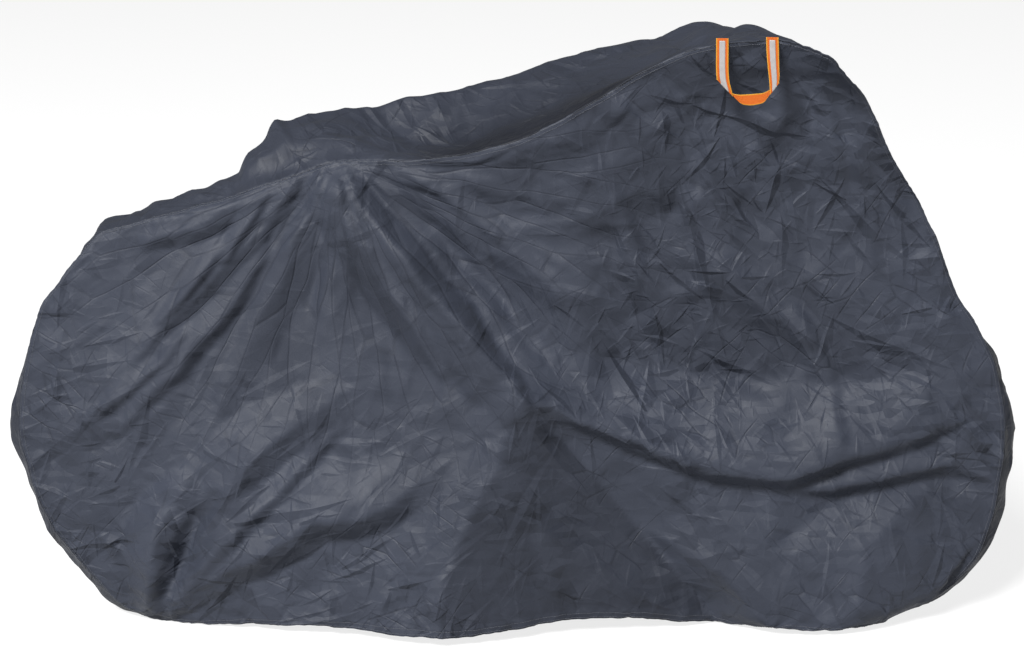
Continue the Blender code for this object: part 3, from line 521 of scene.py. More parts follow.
def grid_object(name, surface):
    """An open grid with the surface's points, and each point's row and column."""
    rows, columns = surface.shape[:2]
    mesh = bmesh.new()
    bmesh.ops.create_grid(mesh, x_segments=columns - 1, y_segments=rows - 1, size=0.5)
    data = bpy.data.meshes.new(name)
    mesh.to_mesh(data)
    mesh.free()
    flat = np.empty(len(data.vertices) * 3)
    data.vertices.foreach_get("co", flat)
    flat = flat.reshape(-1, 3)
    column = np.rint((flat[:, 0] + 0.5) * (columns - 1)).astype(int)
    row = np.rint((flat[:, 1] + 0.5) * (rows - 1)).astype(int)
    data.vertices.foreach_set("co", surface[row, column].ravel())
    data.update()
    thing = bpy.data.objects.new(name, data)
    bpy.context.scene.collection.objects.link(thing)
    return thing, row, column


def settle(surface, hold, spare, frames, seed):
    """The surface's points once the cloth has sagged and buckled where nothing holds it.

    hold is 1 where the cloth is sewn or lies on something, and spare is how much longer than its
    span it is, as a share.
    """
    shaken = surface.copy()
    shaken[:, :, 1] += np.random.default_rng(seed).normal(0.0, SHAKE, surface.shape[:2])
    draped, row, column = grid_object("draping", shaken)
    group = draped.vertex_groups.new(name="held")
    weights = hold[row, column]
    for level in np.unique(np.round(weights, 2)):
        if level > 0.0:
            group.add(np.flatnonzero(np.round(weights, 2) == level).tolist(), float(level), "REPLACE")
    cloth = draped.modifiers.new("cloth", "CLOTH")
    for key, value in CLOTH_SETTINGS.items():
        setattr(cloth.settings, key, value)
    cloth.settings.shrink_min = -spare
    cloth.settings.shrink_max = -spare
    cloth.collision_settings.use_collision = False
    cloth.collision_settings.use_self_collision = False
    cloth.point_cache.frame_start = 1
    cloth.point_cache.frame_end = frames
    for step in range(1, frames + 1):
        bpy.context.scene.frame_set(step)
    graph = bpy.context.evaluated_depsgraph_get()
    hung = bpy.data.meshes.new_from_object(draped.evaluated_get(graph))
    flat = np.empty(len(hung.vertices) * 3)
    hung.vertices.foreach_get("co", flat)
    settled = np.empty_like(surface)
    settled[row, column] = flat.reshape(-1, 3)
    # the cloth is too stiff for ripples as short as two or three cells
    settled = surface + smoothed(settled - surface, RIPPLES_OUT)
    bpy.data.objects.remove(draped, do_unlink=True)
    bpy.data.meshes.remove(hung)
    bpy.context.scene.frame_set(1)
    return settled


def halve(surface):
    """Every second point of a surface, both ways."""
    return surface[::2, ::2]


def double(surface):
    """The surface with one more point between each two, both ways, on a smooth curve."""
    for axis in (0, 1):
        moved = np.moveaxis(surface, axis, 0)
        ends = np.concatenate([2.0 * moved[:1] - moved[1:2], moved, 2.0 * moved[-1:] - moved[-2:-1]])
        between = (9.0 * (ends[1:-2] + ends[2:-1]) - ends[:-3] - ends[3:]) / 16.0
        finer = np.empty((2 * len(moved) - 1,) + moved.shape[1:])
        finer[0::2] = moved
        finer[1::2] = between
        surface = np.moveaxis(finer, 0, axis)
    return surface


def add_node(tree, kind, **values):
    """A shader node with some of its own settings and input sockets set or linked.

    set_NAME sets one of its settings, in_NUMBER an input by its number, and NAME an input by its name.
    """
    made = tree.nodes.new("ShaderNode" + kind)
    for key, value in values.items():
        if key.startswith("set_"):
            setattr(made, key.removeprefix("set_"), value)
            continue
        number = key.removeprefix("in_")
        socket = made.inputs[int(number) if number.isdigit() else key.replace("_", " ")]
        if isinstance(value, bpy.types.NodeSocket):
            tree.links.new(value, socket)
        else:
            socket.default_value = value
    return made


def short_forms(tree):
    """Short forms of one material's maths, vector maths and range nodes."""
    def calc(operation, first, second=0.0):
        return add_node(tree, "Math", set_operation=operation, in_0=first, in_1=second).outputs[0]

    def vector(operation, first, second):
        return add_node(tree, "VectorMath", set_operation=operation, in_0=first, in_1=second).outputs[0]

    def ramp(value, low, high, out_low=0.0, out_high=1.0):
        return add_node(tree, "MapRange", in_0=value, in_1=low, in_2=high, in_3=out_low,
                        in_4=out_high).outputs[0]

    return calc, vector, ramp


def cloth_finish(name, light, dark, drawn_places):
    """Coated polyester taffeta: a fine weave, creases set in flat facets, and grooves along them. Its colour
    holds painted shade along the grooves and wherever a sheet's attribute of painted shade is set.
    """
    finish = bpy.data.materials.new(name)
    finish.use_nodes = True
    tree = finish.node_tree
    shader = tree.nodes["Principled BSDF"]
    for socket, value in CLOTH_SHINE.items():
        shader.inputs[socket].default_value = value
    cut = add_node(tree, "UVMap", set_uv_map="cut").outputs["UV"]
    calc, vector, ramp = short_forms(tree)

    def noise(scale, detail):
        return add_node(tree, "TexNoise", Vector=cut, Scale=scale, Detail=detail, Roughness=0.55)

    # set-in creases: flat facets, each tilted its own way. Near a point that the cloth is drawn taut
    # from, they are drawn out along the lines that run from it
    shares = add_node(tree, "SeparateColor", Color=noise(PATCHES, 2.0).outputs["Color"])
    wander = vector("SUBTRACT", noise(9.0, 1.0).outputs["Color"], MIDDLE)
    bent = add_node(tree, "VectorMath", set_operation="MULTIPLY_ADD", in_0=wander,
                    in_1=BEND, in_2=cut).outputs[0]

    def tilted(turned, slope, share):
        cell = add_node(tree, "TexVoronoi", set_voronoi_dimensions="2D", Vector=turned, Scale=1.0)
        tilt = vector("SUBTRACT", cell.outputs["Color"], MIDDLE)
        return add_node(tree, "VectorMath", set_operation="SCALE", in_0=tilt,
                        Scale=calc("MULTIPLY", share, slope)).outputs[0]

    def wedged(spacing, turn, height, share):
        """A short sharp fold in each cell, long and pointed, with one steep flank and one broad one."""
        place = add_node(tree, "VectorMath", set_operation="SCALE", in_0=bent,
                         Scale=1.0 / spacing).outputs[0]
        cell = add_node(tree, "TexVoronoi", set_voronoi_dimensions="2D", Vector=place, Scale=1.0,
                        Randomness=WEDGE_SCATTER)
        chance = add_node(tree, "SeparateColor", Color=cell.outputs["Color"]).outputs
        middle = add_node(tree, "SeparateXYZ", Vector=cell.outputs["Position"]).outputs["X"]
        swing = ramp(middle, WEDGE_REAR / spacing, WEDGE_FRONT / spacing, WEDGE_SWING, 0.0)
        angle = calc("ADD", swing, ramp(chance["Red"], 0.0, 1.0, turn - WEDGE_SPREAD, turn + WEDGE_SPREAD))
        away = vector("SUBTRACT", place, cell.outputs["Position"])
        away = add_node(tree, "VectorRotate", set_rotation_type="Z_AXIS", set_invert=True,
                        Vector=away, Angle=angle).outputs[0]
        parts = add_node(tree, "SeparateXYZ", Vector=away).outputs
        across = calc("MULTIPLY", parts["Y"], calc("SIGN", calc("SUBTRACT", chance["Blue"], WEDGE_TURNED)))
        broad = ramp(chance["Green"], 0.0, 1.0, *WEDGE_BROAD)
        steep = ramp(chance["Green"], 0.0, 1.0, *WEDGE_STEEP)
        width = add_node(tree, "Mix", in_0=calc("GREATER_THAN", across, 0.0), in_2=steep,
                         in_3=broad).outputs[0]
        off = calc("ADD", calc("DIVIDE", calc("ABSOLUTE", parts["X"]), WEDGE_REACH),
                   calc("DIVIDE", calc("ABSOLUTE", parts["Y"]), width))
        lean = calc("MULTIPLY", calc("DIVIDE", calc("SIGN", parts["Y"]), width),
                    ramp(off, WEDGE_EDGE, 1.0, height, 0.0))
        tilt = add_node(tree, "CombineXYZ", Y=calc("MULTIPLY", lean, share)).outputs[0]
        return add_node(tree, "VectorRotate", set_rotation_type="Z_AXIS", Vector=tilt,
                        Angle=angle).outputs[0]

    tilts = []
    grooves_and_crease_shade = None
    loose = 1.0
    rays = []
    for across, up, reach in drawn_places:
        parts = add_node(tree, "SeparateXYZ",
                         Vector=vector("SUBTRACT", bent, (across, up, 0.0)))
        away = calc("POWER", calc("ADD", calc("POWER", parts.outputs["X"], 2.0),
                                  calc("POWER", parts.outputs["Y"], 2.0)), 0.5)
        angle = calc("ARCTAN2", parts.outputs["X"], calc("MULTIPLY", parts.outputs["Y"], -1.0))
        place = add_node(tree, "CombineXYZ", X=calc("DIVIDE", away, RAY_LENGTH),
                         Y=calc("DIVIDE", angle, RAY_ANGLE)).outputs[0]
        share = calc("MULTIPLY", ramp(away, reach * 0.5, reach, 1.0, 0.0), ramp(away, *RAY_START))
        rays.append((place, away, share))
        loose = calc("SUBTRACT", loose, calc("MULTIPLY", share, RAY_TAUT))
    for turn, longer, size, slope, channel, lined in CREASE_LAYERS:
        turned = add_node(tree, "Mapping", set_vector_type="TEXTURE", Vector=bent,
                          Rotation=(0.0, 0.0, turn), Scale=(size * longer, size, 1.0)).outputs[0]
        share = calc("MULTIPLY", ramp(shares.outputs[channel], *CREASE_PATCHES), loose)
        tilts.append(tilted(turned, slope, share))
        if lined:
            edge = add_node(tree, "TexVoronoi", set_voronoi_dimensions="2D",
                            set_feature="DISTANCE_TO_EDGE", Vector=turned, Scale=1.0)
            line = ramp(edge.outputs["Distance"], 0.0, LINE_WIDTH / size, 1.0, 0.0)
            patch = ramp(noise(8.0 + turn, 2.0).outputs["Fac"], *LINE_PATCHES)
            line = calc("MULTIPLY", line, calc("MULTIPLY", patch, loose))
            grooves_and_crease_shade = line if grooves_and_crease_shade is None else calc("MAXIMUM", grooves_and_crease_shade, line)
    crumpled = add_node(tree, "Attribute", set_attribute_name="crumpled").outputs["Fac"]
    for spacing, turn, height, channel in WEDGE_LAYERS:
        share = calc("MULTIPLY", ramp(shares.outputs[channel], *WEDGE_PATCHES), loose)
        share = calc("MULTIPLY", share, crumpled)
        tilts.append(wedged(spacing, turn, height, share))
    for place, away, share in rays:
        tilts.append(tilted(place, RAY_SLOPE, share))
        edge = add_node(tree, "TexVoronoi", set_voronoi_dimensions="2D",
                        set_feature="DISTANCE_TO_EDGE", Vector=place, Scale=1.0)
        wide = calc("MULTIPLY", calc("MULTIPLY", edge.outputs["Distance"], away), RAY_ANGLE / LINE_WIDTH)
        grooves_and_crease_shade = calc("MAXIMUM", grooves_and_crease_shade, calc("MULTIPLY", ramp(wide, 0.0, 1.0, RAY_LINE, 0.0), share))
    tilt = tilts[0]
    for more in tilts[1:]:
        tilt = vector("ADD", tilt, more)
    facing = add_node(tree, "VectorMath", set_operation="MULTIPLY_ADD", in_0=tilt,
                      in_1=(0.5, 0.5, 0.0), in_2=(0.5, 0.5, 1.0)).outputs[0]
    facing = add_node(tree, "NormalMap", set_uv_map="cut", Color=facing)

    # weave: threads 0.8 mm apart, over and under
    parts = add_node(tree, "SeparateXYZ", Vector=cut)
    warp = calc("SINE", calc("MULTIPLY", parts.outputs["X"], math.pi * 2.0 / WEAVE_PITCH))
    weft = calc("SINE", calc("MULTIPLY", parts.outputs["Y"], math.pi * 2.0 / WEAVE_PITCH))
    weave = calc("MULTIPLY", calc("MULTIPLY", warp, weft), WEAVE_DEPTH)
    ripple = calc("MULTIPLY", noise(160.0, 2.0).outputs["Fac"], RIPPLE_DEPTH)
    height = calc("ADD", calc("MULTIPLY", grooves_and_crease_shade, LINE_DEPTH), calc("ADD", weave, ripple))
    bump = add_node(tree, "Bump", Strength=1.0, Distance=1.0, Height=height,
                    Normal=facing.outputs["Normal"])
    tree.links.new(bump.outputs["Normal"], shader.inputs["Normal"])

    # colour: slow patches, a fleck between threads, and painted shade along the creases' grooves
    slow = ramp(noise(2.6, 4.0).outputs["Fac"], 0.30, 0.70)
    fleck = ramp(noise(900.0, 1.0).outputs["Fac"], 0.3, 0.7, -0.08, 0.08)
    share = calc("ADD", calc("ADD", slow, fleck), calc("MULTIPLY", grooves_and_crease_shade, -CREASE_PAINTED_SHADE))
    tint = add_node(tree, "Mix", set_data_type="RGBA", in_0=share, in_6=dark, in_7=light)
    # painted shade: the colour is multiplied towards a dark tint by the sheet's attribute of painted shade
    painted_shade = add_node(tree, "Attribute", set_attribute_name="painted_shade").outputs["Fac"]
    shaded = add_node(tree, "Mix", set_data_type="RGBA", set_blend_type="MULTIPLY", in_0=painted_shade,
                      in_6=tint.outputs[2], in_7=PAINTED_SHADE_TINT)
    tree.links.new(shaded.outputs[2], shader.inputs["Base Color"])
    dull = ramp(noise(30.0, 3.0).outputs["Fac"], 0.3, 0.7, 0.52, 0.64)
    tree.links.new(dull, shader.inputs["Roughness"])
    return finish


def sheet_object(name, surface, cut, finish, attributes):
    """A sheet of cloth: the surface as a grid, its flat cut as a UV map in metres, and its thickness."""
    thing, row, column = grid_object(name, surface)
    data = thing.data
    if data.polygons[0].normal.dot(Vector(surface[1, 1] - np.array(INSIDE_POINT))) < 0.0:
        data.flip_normals()
    data.uv_layers.new(name="cut")
    corner = np.empty(len(data.loops), dtype=int)
    data.loops.foreach_get("vertex_index", corner)
    data.uv_layers["cut"].data.foreach_set("uv", cut[row[corner], column[corner]].ravel())
    for key, values in attributes.items():
        data.attributes.new(key, "FLOAT", "POINT").data.foreach_set("value", values[row, column])
    data.materials.append(finish)
    data.shade_smooth()
    wall = thing.modifiers.new("thickness", "SOLIDIFY")
    wall.thickness = CLOTH_THICKNESS
    wall.offset = -1.0
    return thing


CLOTH_SHINE = {"Specular IOR Level": 0.14, "Sheen Weight": 0.02, "Sheen Roughness": 0.45,
               "Sheen Tint": (0.70, 0.76, 0.90, 1.0)}
MIDDLE = (0.5, 0.5, 0.5)
BEND = (0.018, 0.018, 0.0)         # how far creases bend from straight, in metres
PATCHES = 6.0                      # patches of more and of less creased cloth, to a metre
CREASE_PATCHES = (0.42, 0.60, 0.22, 1.0)
WEDGE_PATCHES = (0.38, 0.56, 0.40, 1.0)
LINE_PATCHES = (0.50, 0.62)
WEAVE_PITCH = 0.0008
WEAVE_DEPTH = 0.00002
RIPPLE_DEPTH = 0.00012
# Creases set in the cloth: turn (radians), length to width, width, slope, which patches, lined.
CREASE_LAYERS = [
    (0.9, 3.4, 0.040, 0.24, "Red", True),
    (2.5, 3.0, 0.024, 0.32, "Green", True),
    (0.1, 2.8, 0.012, 0.44, "Blue", False),
]
# Short pointed folds: mean distance, mean turn (radians), height as a share of it, which patches.
WEDGE_LAYERS = [
    (0.230, -1.2, 0.060, "Red"),
    (0.150, -0.9, 0.070, "Green"),
    (0.105, -1.4, 0.072, "Red"),
    (0.072, -0.6, 0.075, "Blue"),
    (0.048, -1.6, 0.058, "Red"),
    (0.032, 0.5, 0.040, "Green"),
    (0.021, -1.0, 0.034, "Blue"),
]
WEDGE_SPREAD = 0.8
WEDGE_REAR = -0.25                 # their mean turn swings over between these two places (X)
WEDGE_FRONT = 0.10
WEDGE_SWING = -1.4
WEDGE_REACH = 0.60                 # half their length, and their flanks' widths, as shares of the distance
WEDGE_BROAD = (0.16, 0.38)
WEDGE_STEEP = (0.070, 0.130)
WEDGE_SCATTER = 0.85               # how unevenly they are spread
WEDGE_TURNED = 0.4                 # the share that has its steep flank on the other side
WEDGE_EDGE = 0.9
PAINTED_SHADE_TINT = (0.32, 0.32, 0.34, 1.0)    # painted shade: the dark tint that the colour is multiplied towards where a sheet is shaded
LINE_WIDTH = 0.0019                # half the width of the groove where two facets meet
LINE_DEPTH = -0.0008
# painted shade along the creases' grooves: how far their colour is pushed to the darker tone
CREASE_PAINTED_SHADE = 0.8
RAY_LENGTH = 0.150                 # creases that run from a taut point: length, angle (radians), slope
RAY_ANGLE = 0.095
RAY_SLOPE = 0.27
RAY_START = (0.04, 0.16)           # the distance over which they set in
RAY_TAUT = 0.7                     # how much they take from the other creases
RAY_LINE = 0.8

# the centre strip's stations, which the two long seams come from
kinds = [row[0] for row in STRIP_SECTIONS]
rows_of_numbers = [list(near) + list(far) + list(near_lip) + [middle] + list(far_lip)
                   for _part, near, far, near_lip, middle, far_lip in STRIP_SECTIONS]
first_top = kinds.index("top")
first_front = kinds.index("front")
rear_part = smooth_curve(rows_of_numbers[:first_top + 1], ROWS)
top_part = smooth_curve(rows_of_numbers[first_top:first_front + 1], COLUMNS)
front_part = smooth_curve(rows_of_numbers[first_front:], ROWS)
stations = np.vstack([rear_part, top_part[1:], front_part[1:]])
middles = (stations[:, 0:3] + stations[:, 3:6]) / 2.0
along_strip = unit(np.gradient(middles, axis=0))
strip_outward = unit(np.cross(along_strip, unit(stations[:, 3:6] - stations[:, 0:3])))
strip_outward *= np.sign(np.sum(strip_outward * (middles - INSIDE_POINT), axis=-1, keepdims=True))


def side_edges(seam, hem_points):
    """The four edges of a side panel: hem, rear, top and front."""
    hem = smooth_curve([seam[0]] + hem_points + [seam[-1]], COLUMNS)
    return hem, seam[:ROWS + 1], seam[ROWS:ROWS + COLUMNS + 1], seam[:ROWS + COLUMNS - 1:-1]


def side_panel(edges, posts, folds, net, crumpled_places, crumples, apex, outward, seed):
    """A side panel before it settles, its flat cut, and what stays sharp when it has settled.

    outward is -1 or 1 along Y.
    """
    surface = coons(*edges)
    cut = surface[:, :, [0, 2]].copy()
    x = cut[:, :, 0]
    z = cut[:, :, 1]
    wander_x, wander_z = [facets(x, z, WANDER_SPACING, seed + more) * WANDER for more in (50, 51)]
    sharp = np.zeros_like(x)
    for _name, crest, rear_width, front_width, height in folds:
        sharp += fold_height(x + wander_x, z + wander_z, crest, rear_width, front_width, height)
    # folds are low where they run together at the apex
    sharp *= APEX_SHARE + (1.0 - APEX_SHARE) * ease(np.hypot(x - apex[0], z - apex[1]) / APEX_REACH)
    lift = sharp * FOLDS_BEFORE
    large = np.zeros_like(x)
    if net:
        large = net_height(x + wander_x * FACETS_WANDER, z + wander_z * FACETS_WANDER, *net)
    lift += large * FACETS_BEFORE
    for _name, place, reach, height in posts:
        away = np.hypot(x - place[0], z - place[1])
        lift += height * np.exp(-np.hypot(away, POST_TIP) / reach)
    share = np.ones_like(x)
    for place, reach, more in crumpled_places:
        share += more * np.exp(-((x - place[0])**2 + (z - place[1])**2) / reach**2)
    # facets near the apex are drawn out along the lines that run from it
    away = np.hypot(x - apex[0], z - apex[1])
    turned = np.arctan2(x - apex[0], apex[1] - z)
    drawn = ease(DRAWN_EDGE - away / DRAWN_REACH) * ease((DRAWN_FRONT - x) / DRAWN_FADE)
    sharp = sharp + large * (1.0 - FACETS_BEFORE)
    for number, (_name, spacing, height) in enumerate(crumples):
        plain = facets(x + wander_x, z + wander_z, spacing, seed + number)
        rays = facets(np.sqrt(away) * RAY_ALONG, turned * RAY_ACROSS, spacing * RAY_SPACING,
                      seed + 10 + number)
        field = height * share * (plain * (1.0 - drawn) + rays * drawn)
        if number == 0:
            lift += field
        else:
            sharp += field
    gap, _run = to_seam(surface, np.vstack([edges[1], edges[2], edges[3][::-1]]))
    surface[:, :, 1] += outward * lift * ease(gap / SEAM_CALM)
    return surface, cut, sharp


def crumpled_share(places):
    """How crumpled the cloth is at a place, or at each of many, from 0 to 1."""
    def share_at(place):
        share = PLAIN_SHARE
        for middle, reach, more in places:
            away = (place[..., 0] - middle[0])**2 + (place[..., 1] - middle[1])**2
            share = share + CRUMPLED_MORE * more * np.exp(-away / reach**2)
        return np.clip(share, 0.0, 1.0)
    return share_at


def drawn_from(apexes):
    """The way creases run at a place: along the line from the nearest taut point, near to it."""
    def heading_at(place):
        best = min(apexes, key=lambda apex: math.dist(apex[0], place) / apex[1])
        away = math.dist(best[0], place)
        angle = math.atan2(place[1] - best[0][1], place[0] - best[0][0])
        return angle, HEADING_KEPT * math.exp(-(away / best[1])**2)
    return heading_at


def held_at_edges(surface, elsewhere):
    """How firmly each point of a side panel is held: sewn in at its seams, and lightly at its hem."""
    hold = np.full(surface.shape[:2], elsewhere)
    hold[0, :] = HEM_HOLD
    hold[:, [0, -1]] = 1.0
    hold[-1, :] = 1.0
    return hold


HEM_HOLD = 0.5
SPARE_CLOTH = 0.025                # how much longer than its span the cloth is, as a share
SETTLING_FRAMES = 22
PEDAL_REACH = 0.03
TAUT_TOP = 0.44                    # where the cloth is drawn taut, and how firmly that holds it
TAUT_REAR = -0.30
TAUT_FADE = 0.12
TAUT_HOLD = 0.90
near_edges = side_edges(stations[:, 0:3], NEAR_HEM)
near_surface, near_cut, near_sharp = side_panel(near_edges, NEAR_POSTS, NEAR_FOLDS,
                                                (NEAR_CORNERS, NEAR_JOINS), CRUMPLED_PLACES, CRUMPLES,
                                                (-0.292, 0.851), -1.0, 11)
near_hold = held_at_edges(near_surface, 0.30)
pedal = np.hypot(near_cut[:, :, 0] - NEAR_POSTS[0][1][0], near_cut[:, :, 1] - NEAR_POSTS[0][1][1])
near_hold[pedal < PEDAL_REACH] = 1.0
# below the pedal the cloth is drawn taut between the pedal, the front wheel and the hem
taut = ease((TAUT_TOP - near_cut[:, :, 1]) / TAUT_FADE) * ease((near_cut[:, :, 0] - TAUT_REAR) / TAUT_FADE)
near_hold = np.maximum(near_hold, TAUT_HOLD * taut)
near_surface = double(settle(halve(near_surface), halve(near_hold), SPARE_CLOTH, SETTLING_FRAMES, 5))


def crease_sheet(surface, sharp, cut, hint, seam, kinds_of_crease, density, heading, seed):
    """The settled sheet with its sharper folds and creases, which die out at the seam."""
    x = cut[:, :, 0]
    z = cut[:, :, 1]
    lift = sharp + creases(x, z, kinds_of_crease, density, heading, seed)
    gap, _run = to_seam(surface, seam)
    way = unit(smoothed(normals_of(surface, hint), CALMING))
    return surface + way * (lift * ease(gap / CREASES_FADE))[:, :, None]


towards_near = np.array([0.0, -1.0, 0.0])
near_seam = stations[:, 0:3]
near_surface = crease_sheet(near_surface, near_sharp, near_cut, towards_near, near_seam, CREASES,
                            crumpled_share(CRUMPLED_PLACES), drawn_from(NEAR_TAUT), 900)


FINE_PITCH = 0.017                 # fine wrinkles along a seam, highest where it is drawn tight
FINE_LEAST = 0.0007
FINE_MORE = 0.0016
SLOW_PITCH = 0.085                 # and slower waves
SLOW_HEIGHT = 0.0016
SADDLE_PLACE = 0.30                # where it is tight: so far along the top, and round the bar
SADDLE_REACH = 0.26
BAR_REACH = 0.09
GATHER_ENDS = 0.02
SEAM_TURN = 0.012                  # over this distance the cloth turns into its seam
SEAM_REACH = 0.022
HEM_ENDS = 0.03
# Waves of a hem: mean distance between crests, height. Two go in and out, and two up and down.
HEM_WAVES = [(0.050, 0.0020), (0.016, 0.0007), (0.120, 0.0015), (0.028, 0.0007)]
HEM_OUT_REACH = 0.030
HEM_UP_REACH = 0.040


def seam_directions(outward):
    """Which way a seam stands out at each station, between the strip's way and the panel's."""
    return unit(strip_outward + np.array([0.0, outward, 0.0]))


def gathers(seam, seed):
    """How far each station of a long seam is drawn in or out by its stitching."""
    run = run_along(seam)
    top_run = run[ROWS]
    front_run = run[ROWS + COLUMNS]
    tight = (np.exp(-((run - top_run - SADDLE_PLACE) / SADDLE_REACH)**2)
             + np.exp(-((run - front_run) / BAR_REACH)**2))
    fine = puckers(run, FINE_PITCH, seed) * (FINE_LEAST + FINE_MORE * np.clip(tight, 0.0, 1.0))
    slow = puckers(run, SLOW_PITCH, seed + 1) * SLOW_HEIGHT
    ends = ease(run / GATHER_ENDS) * ease((run[-1] - run) / GATHER_ENDS)
    return (fine + slow) * ends


def work_edges(surface, hint, seam, directions, drawn, banded):
    """The seam's puckers and its folded band, on a sheet whose edge is sewn into that seam."""
    gap, run = to_seam(surface, seam)
    seam_run = run_along(seam)
    near_edge = np.exp(-gap / SEAM_TURN)[:, :, None]
    way = np.stack([np.interp(run, seam_run, column) for column in directions.T], axis=-1)
    way = unit(normals_of(surface, hint) * (1.0 - near_edge) + way * near_edge)
    amount = np.interp(run, seam_run, drawn) * np.exp(-gap / SEAM_REACH)
    if banded:
        amount += BAND_RISE * ease(gap / BAND_EDGE) * (1.0 - ease((gap - SEAM_BAND) / BAND_EDGE))
    return surface + way * amount[:, :, None]


def work_hem(surface, hem, hint, seed):
    """The hem: folded double over its band's height, with a wavy edge that keeps to the hem's line.

    Where the cloth stands out further, its edge hangs a little higher.
    """
    steps = np.linalg.norm(np.diff(surface, axis=0), axis=2)
    up = np.concatenate([np.zeros((1, surface.shape[1])), np.cumsum(steps, axis=0)])
    back = hem - surface[0]
    out = -(back @ hint)
    back += out[:, None] * hint
    back[:, 2] += HEM_TURN * out
    surface = surface + back[None, :, :] * np.exp(-up / HEM_REACH)[:, :, None]
    run = run_along(surface[0])
    inset = ease(np.minimum(run, run[-1] - run) / HEM_ENDS)
    waves = [puckers(run, pitch, seed + number) * height for number, (pitch, height) in enumerate(HEM_WAVES)]
    amount = (waves[0] + waves[1]) * inset * np.exp(-up / HEM_OUT_REACH)
    amount = amount + BAND_RISE * (1.0 - ease((up - HEM_BAND) / BAND_EDGE))
    surface = surface + normals_of(surface, hint) * amount[:, :, None]
    surface[:, :, 2] += (waves[2] + waves[3]) * inset * np.exp(-up / HEM_UP_REACH)
    surface[:, :, 2] = np.maximum(surface[:, :, 2], FLOOR_CLEAR)
    return surface


near_directions = seam_directions(-1.0)
near_drawn = gathers(near_seam, 301)
near_surface = work_hem(near_surface, near_edges[0], towards_near, 311)
near_surface = work_edges(near_surface, towards_near, near_seam, near_directions, near_drawn, True)

# Where the handle loop hangs, the panel lies behind it.
WEBBING_WIDTH = 0.021
WEBBING_THICKNESS = 0.0024         # both layers, where the webbing is turned over
LOOP_REAR_X = 0.339
LOOP_FRONT_X = 0.418
LOOP_DROP = 0.100
LOOP_LEAVES = 0.045                # below the seam, where it hangs clear
LOOP_ROUND = 0.05                  # the panel lies back behind the loop and this far round it
PANEL_CLEAR = 0.0008
top_edge = near_edges[2]
loop_ends = np.array([[np.interp(place, top_edge[:, 0], column) for column in top_edge.T]
                      for place in (LOOP_REAR_X, LOOP_FRONT_X)])
loop_sideways = unit((loop_ends[1] - loop_ends[0]) * [1.0, 1.0, 0.0])
loop_up = np.array([0.0, 0.0, 1.0])
loop_outward = np.cross(loop_sideways, loop_up)
loop_middle = loop_ends.mean(axis=0)
loop_half = (LOOP_FRONT_X - LOOP_REAR_X + WEBBING_WIDTH) / 2.0
loop_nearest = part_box("handle_loop")[0][1] + loop_half * abs(loop_sideways[1])
loop_seat = (loop_nearest - loop_middle[1]) / loop_outward[1] - WEBBING_THICKNESS


def loop_offset(height):
    """How far the loop's back stands out from the seam's own plane, at a height above the seam."""
    return loop_seat * ease(-height / LOOP_LEAVES)


behind = near_surface - loop_middle
beside = np.abs(behind @ loop_sideways) - loop_half
beneath = -(behind @ loop_up) - LOOP_DROP
pressed = ease(1.0 - np.maximum(beside, beneath) / LOOP_ROUND)
proud = np.maximum(behind @ loop_outward - (loop_offset(behind @ loop_up) - PANEL_CLEAR), 0.0)
near_surface = near_surface - (proud * pressed)[:, :, None] * loop_outward

FLANK_EDGE = 0.008                 # painted shade on the slack flank: how sharp its edges are, and how much darker it is painted
FLANK_PAINTED_SHADE = 0.40
DRAWN_PLACES = [(-0.292, 0.851, 0.70)]
NEAR_LIGHT = (0.0204, 0.0236, 0.0334, 1.0)
NEAR_DARK = (0.0152, 0.0176, 0.0250, 1.0)
cover_cloth = cloth_finish("cover_cloth", NEAR_LIGHT, NEAR_DARK, DRAWN_PLACES)
# painted shade on the slack flank in front of the tent's crest, below the pedal, darkest towards the pocket
crest, pocket = [np.array([NEAR_CORNERS[name] for name in reversed(run)])
                 for run in (("pedal", "tent", "tent low", "tent hem"),
                             ("pedal", "pocket", "pocket low", "pocket hem"))]
from_crest = near_cut[:, :, 0] - np.interp(near_cut[:, :, 1], crest[:, 1], crest[:, 0])
to_pocket = np.interp(near_cut[:, :, 1], pocket[:, 1], pocket[:, 0]) - near_cut[:, :, 0]
flank = ease(from_crest / FLANK_EDGE) * ease(to_pocket / FLANK_EDGE) * (near_cut[:, :, 1] < pocket[-1, 1])
flank *= FLANK_PAINTED_SHADE * (0.5 + 0.5 * from_crest / np.maximum(from_crest + to_pocket, FLANK_EDGE))
near_panel = sheet_object("near_panel_cloth", near_surface, near_cut, cover_cloth,
                          {"painted_shade": flank, "crumpled": crumpled_share(CRUMPLED_PLACES)(near_cut)})
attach(near_panel, "root")
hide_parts("near_side_panel")

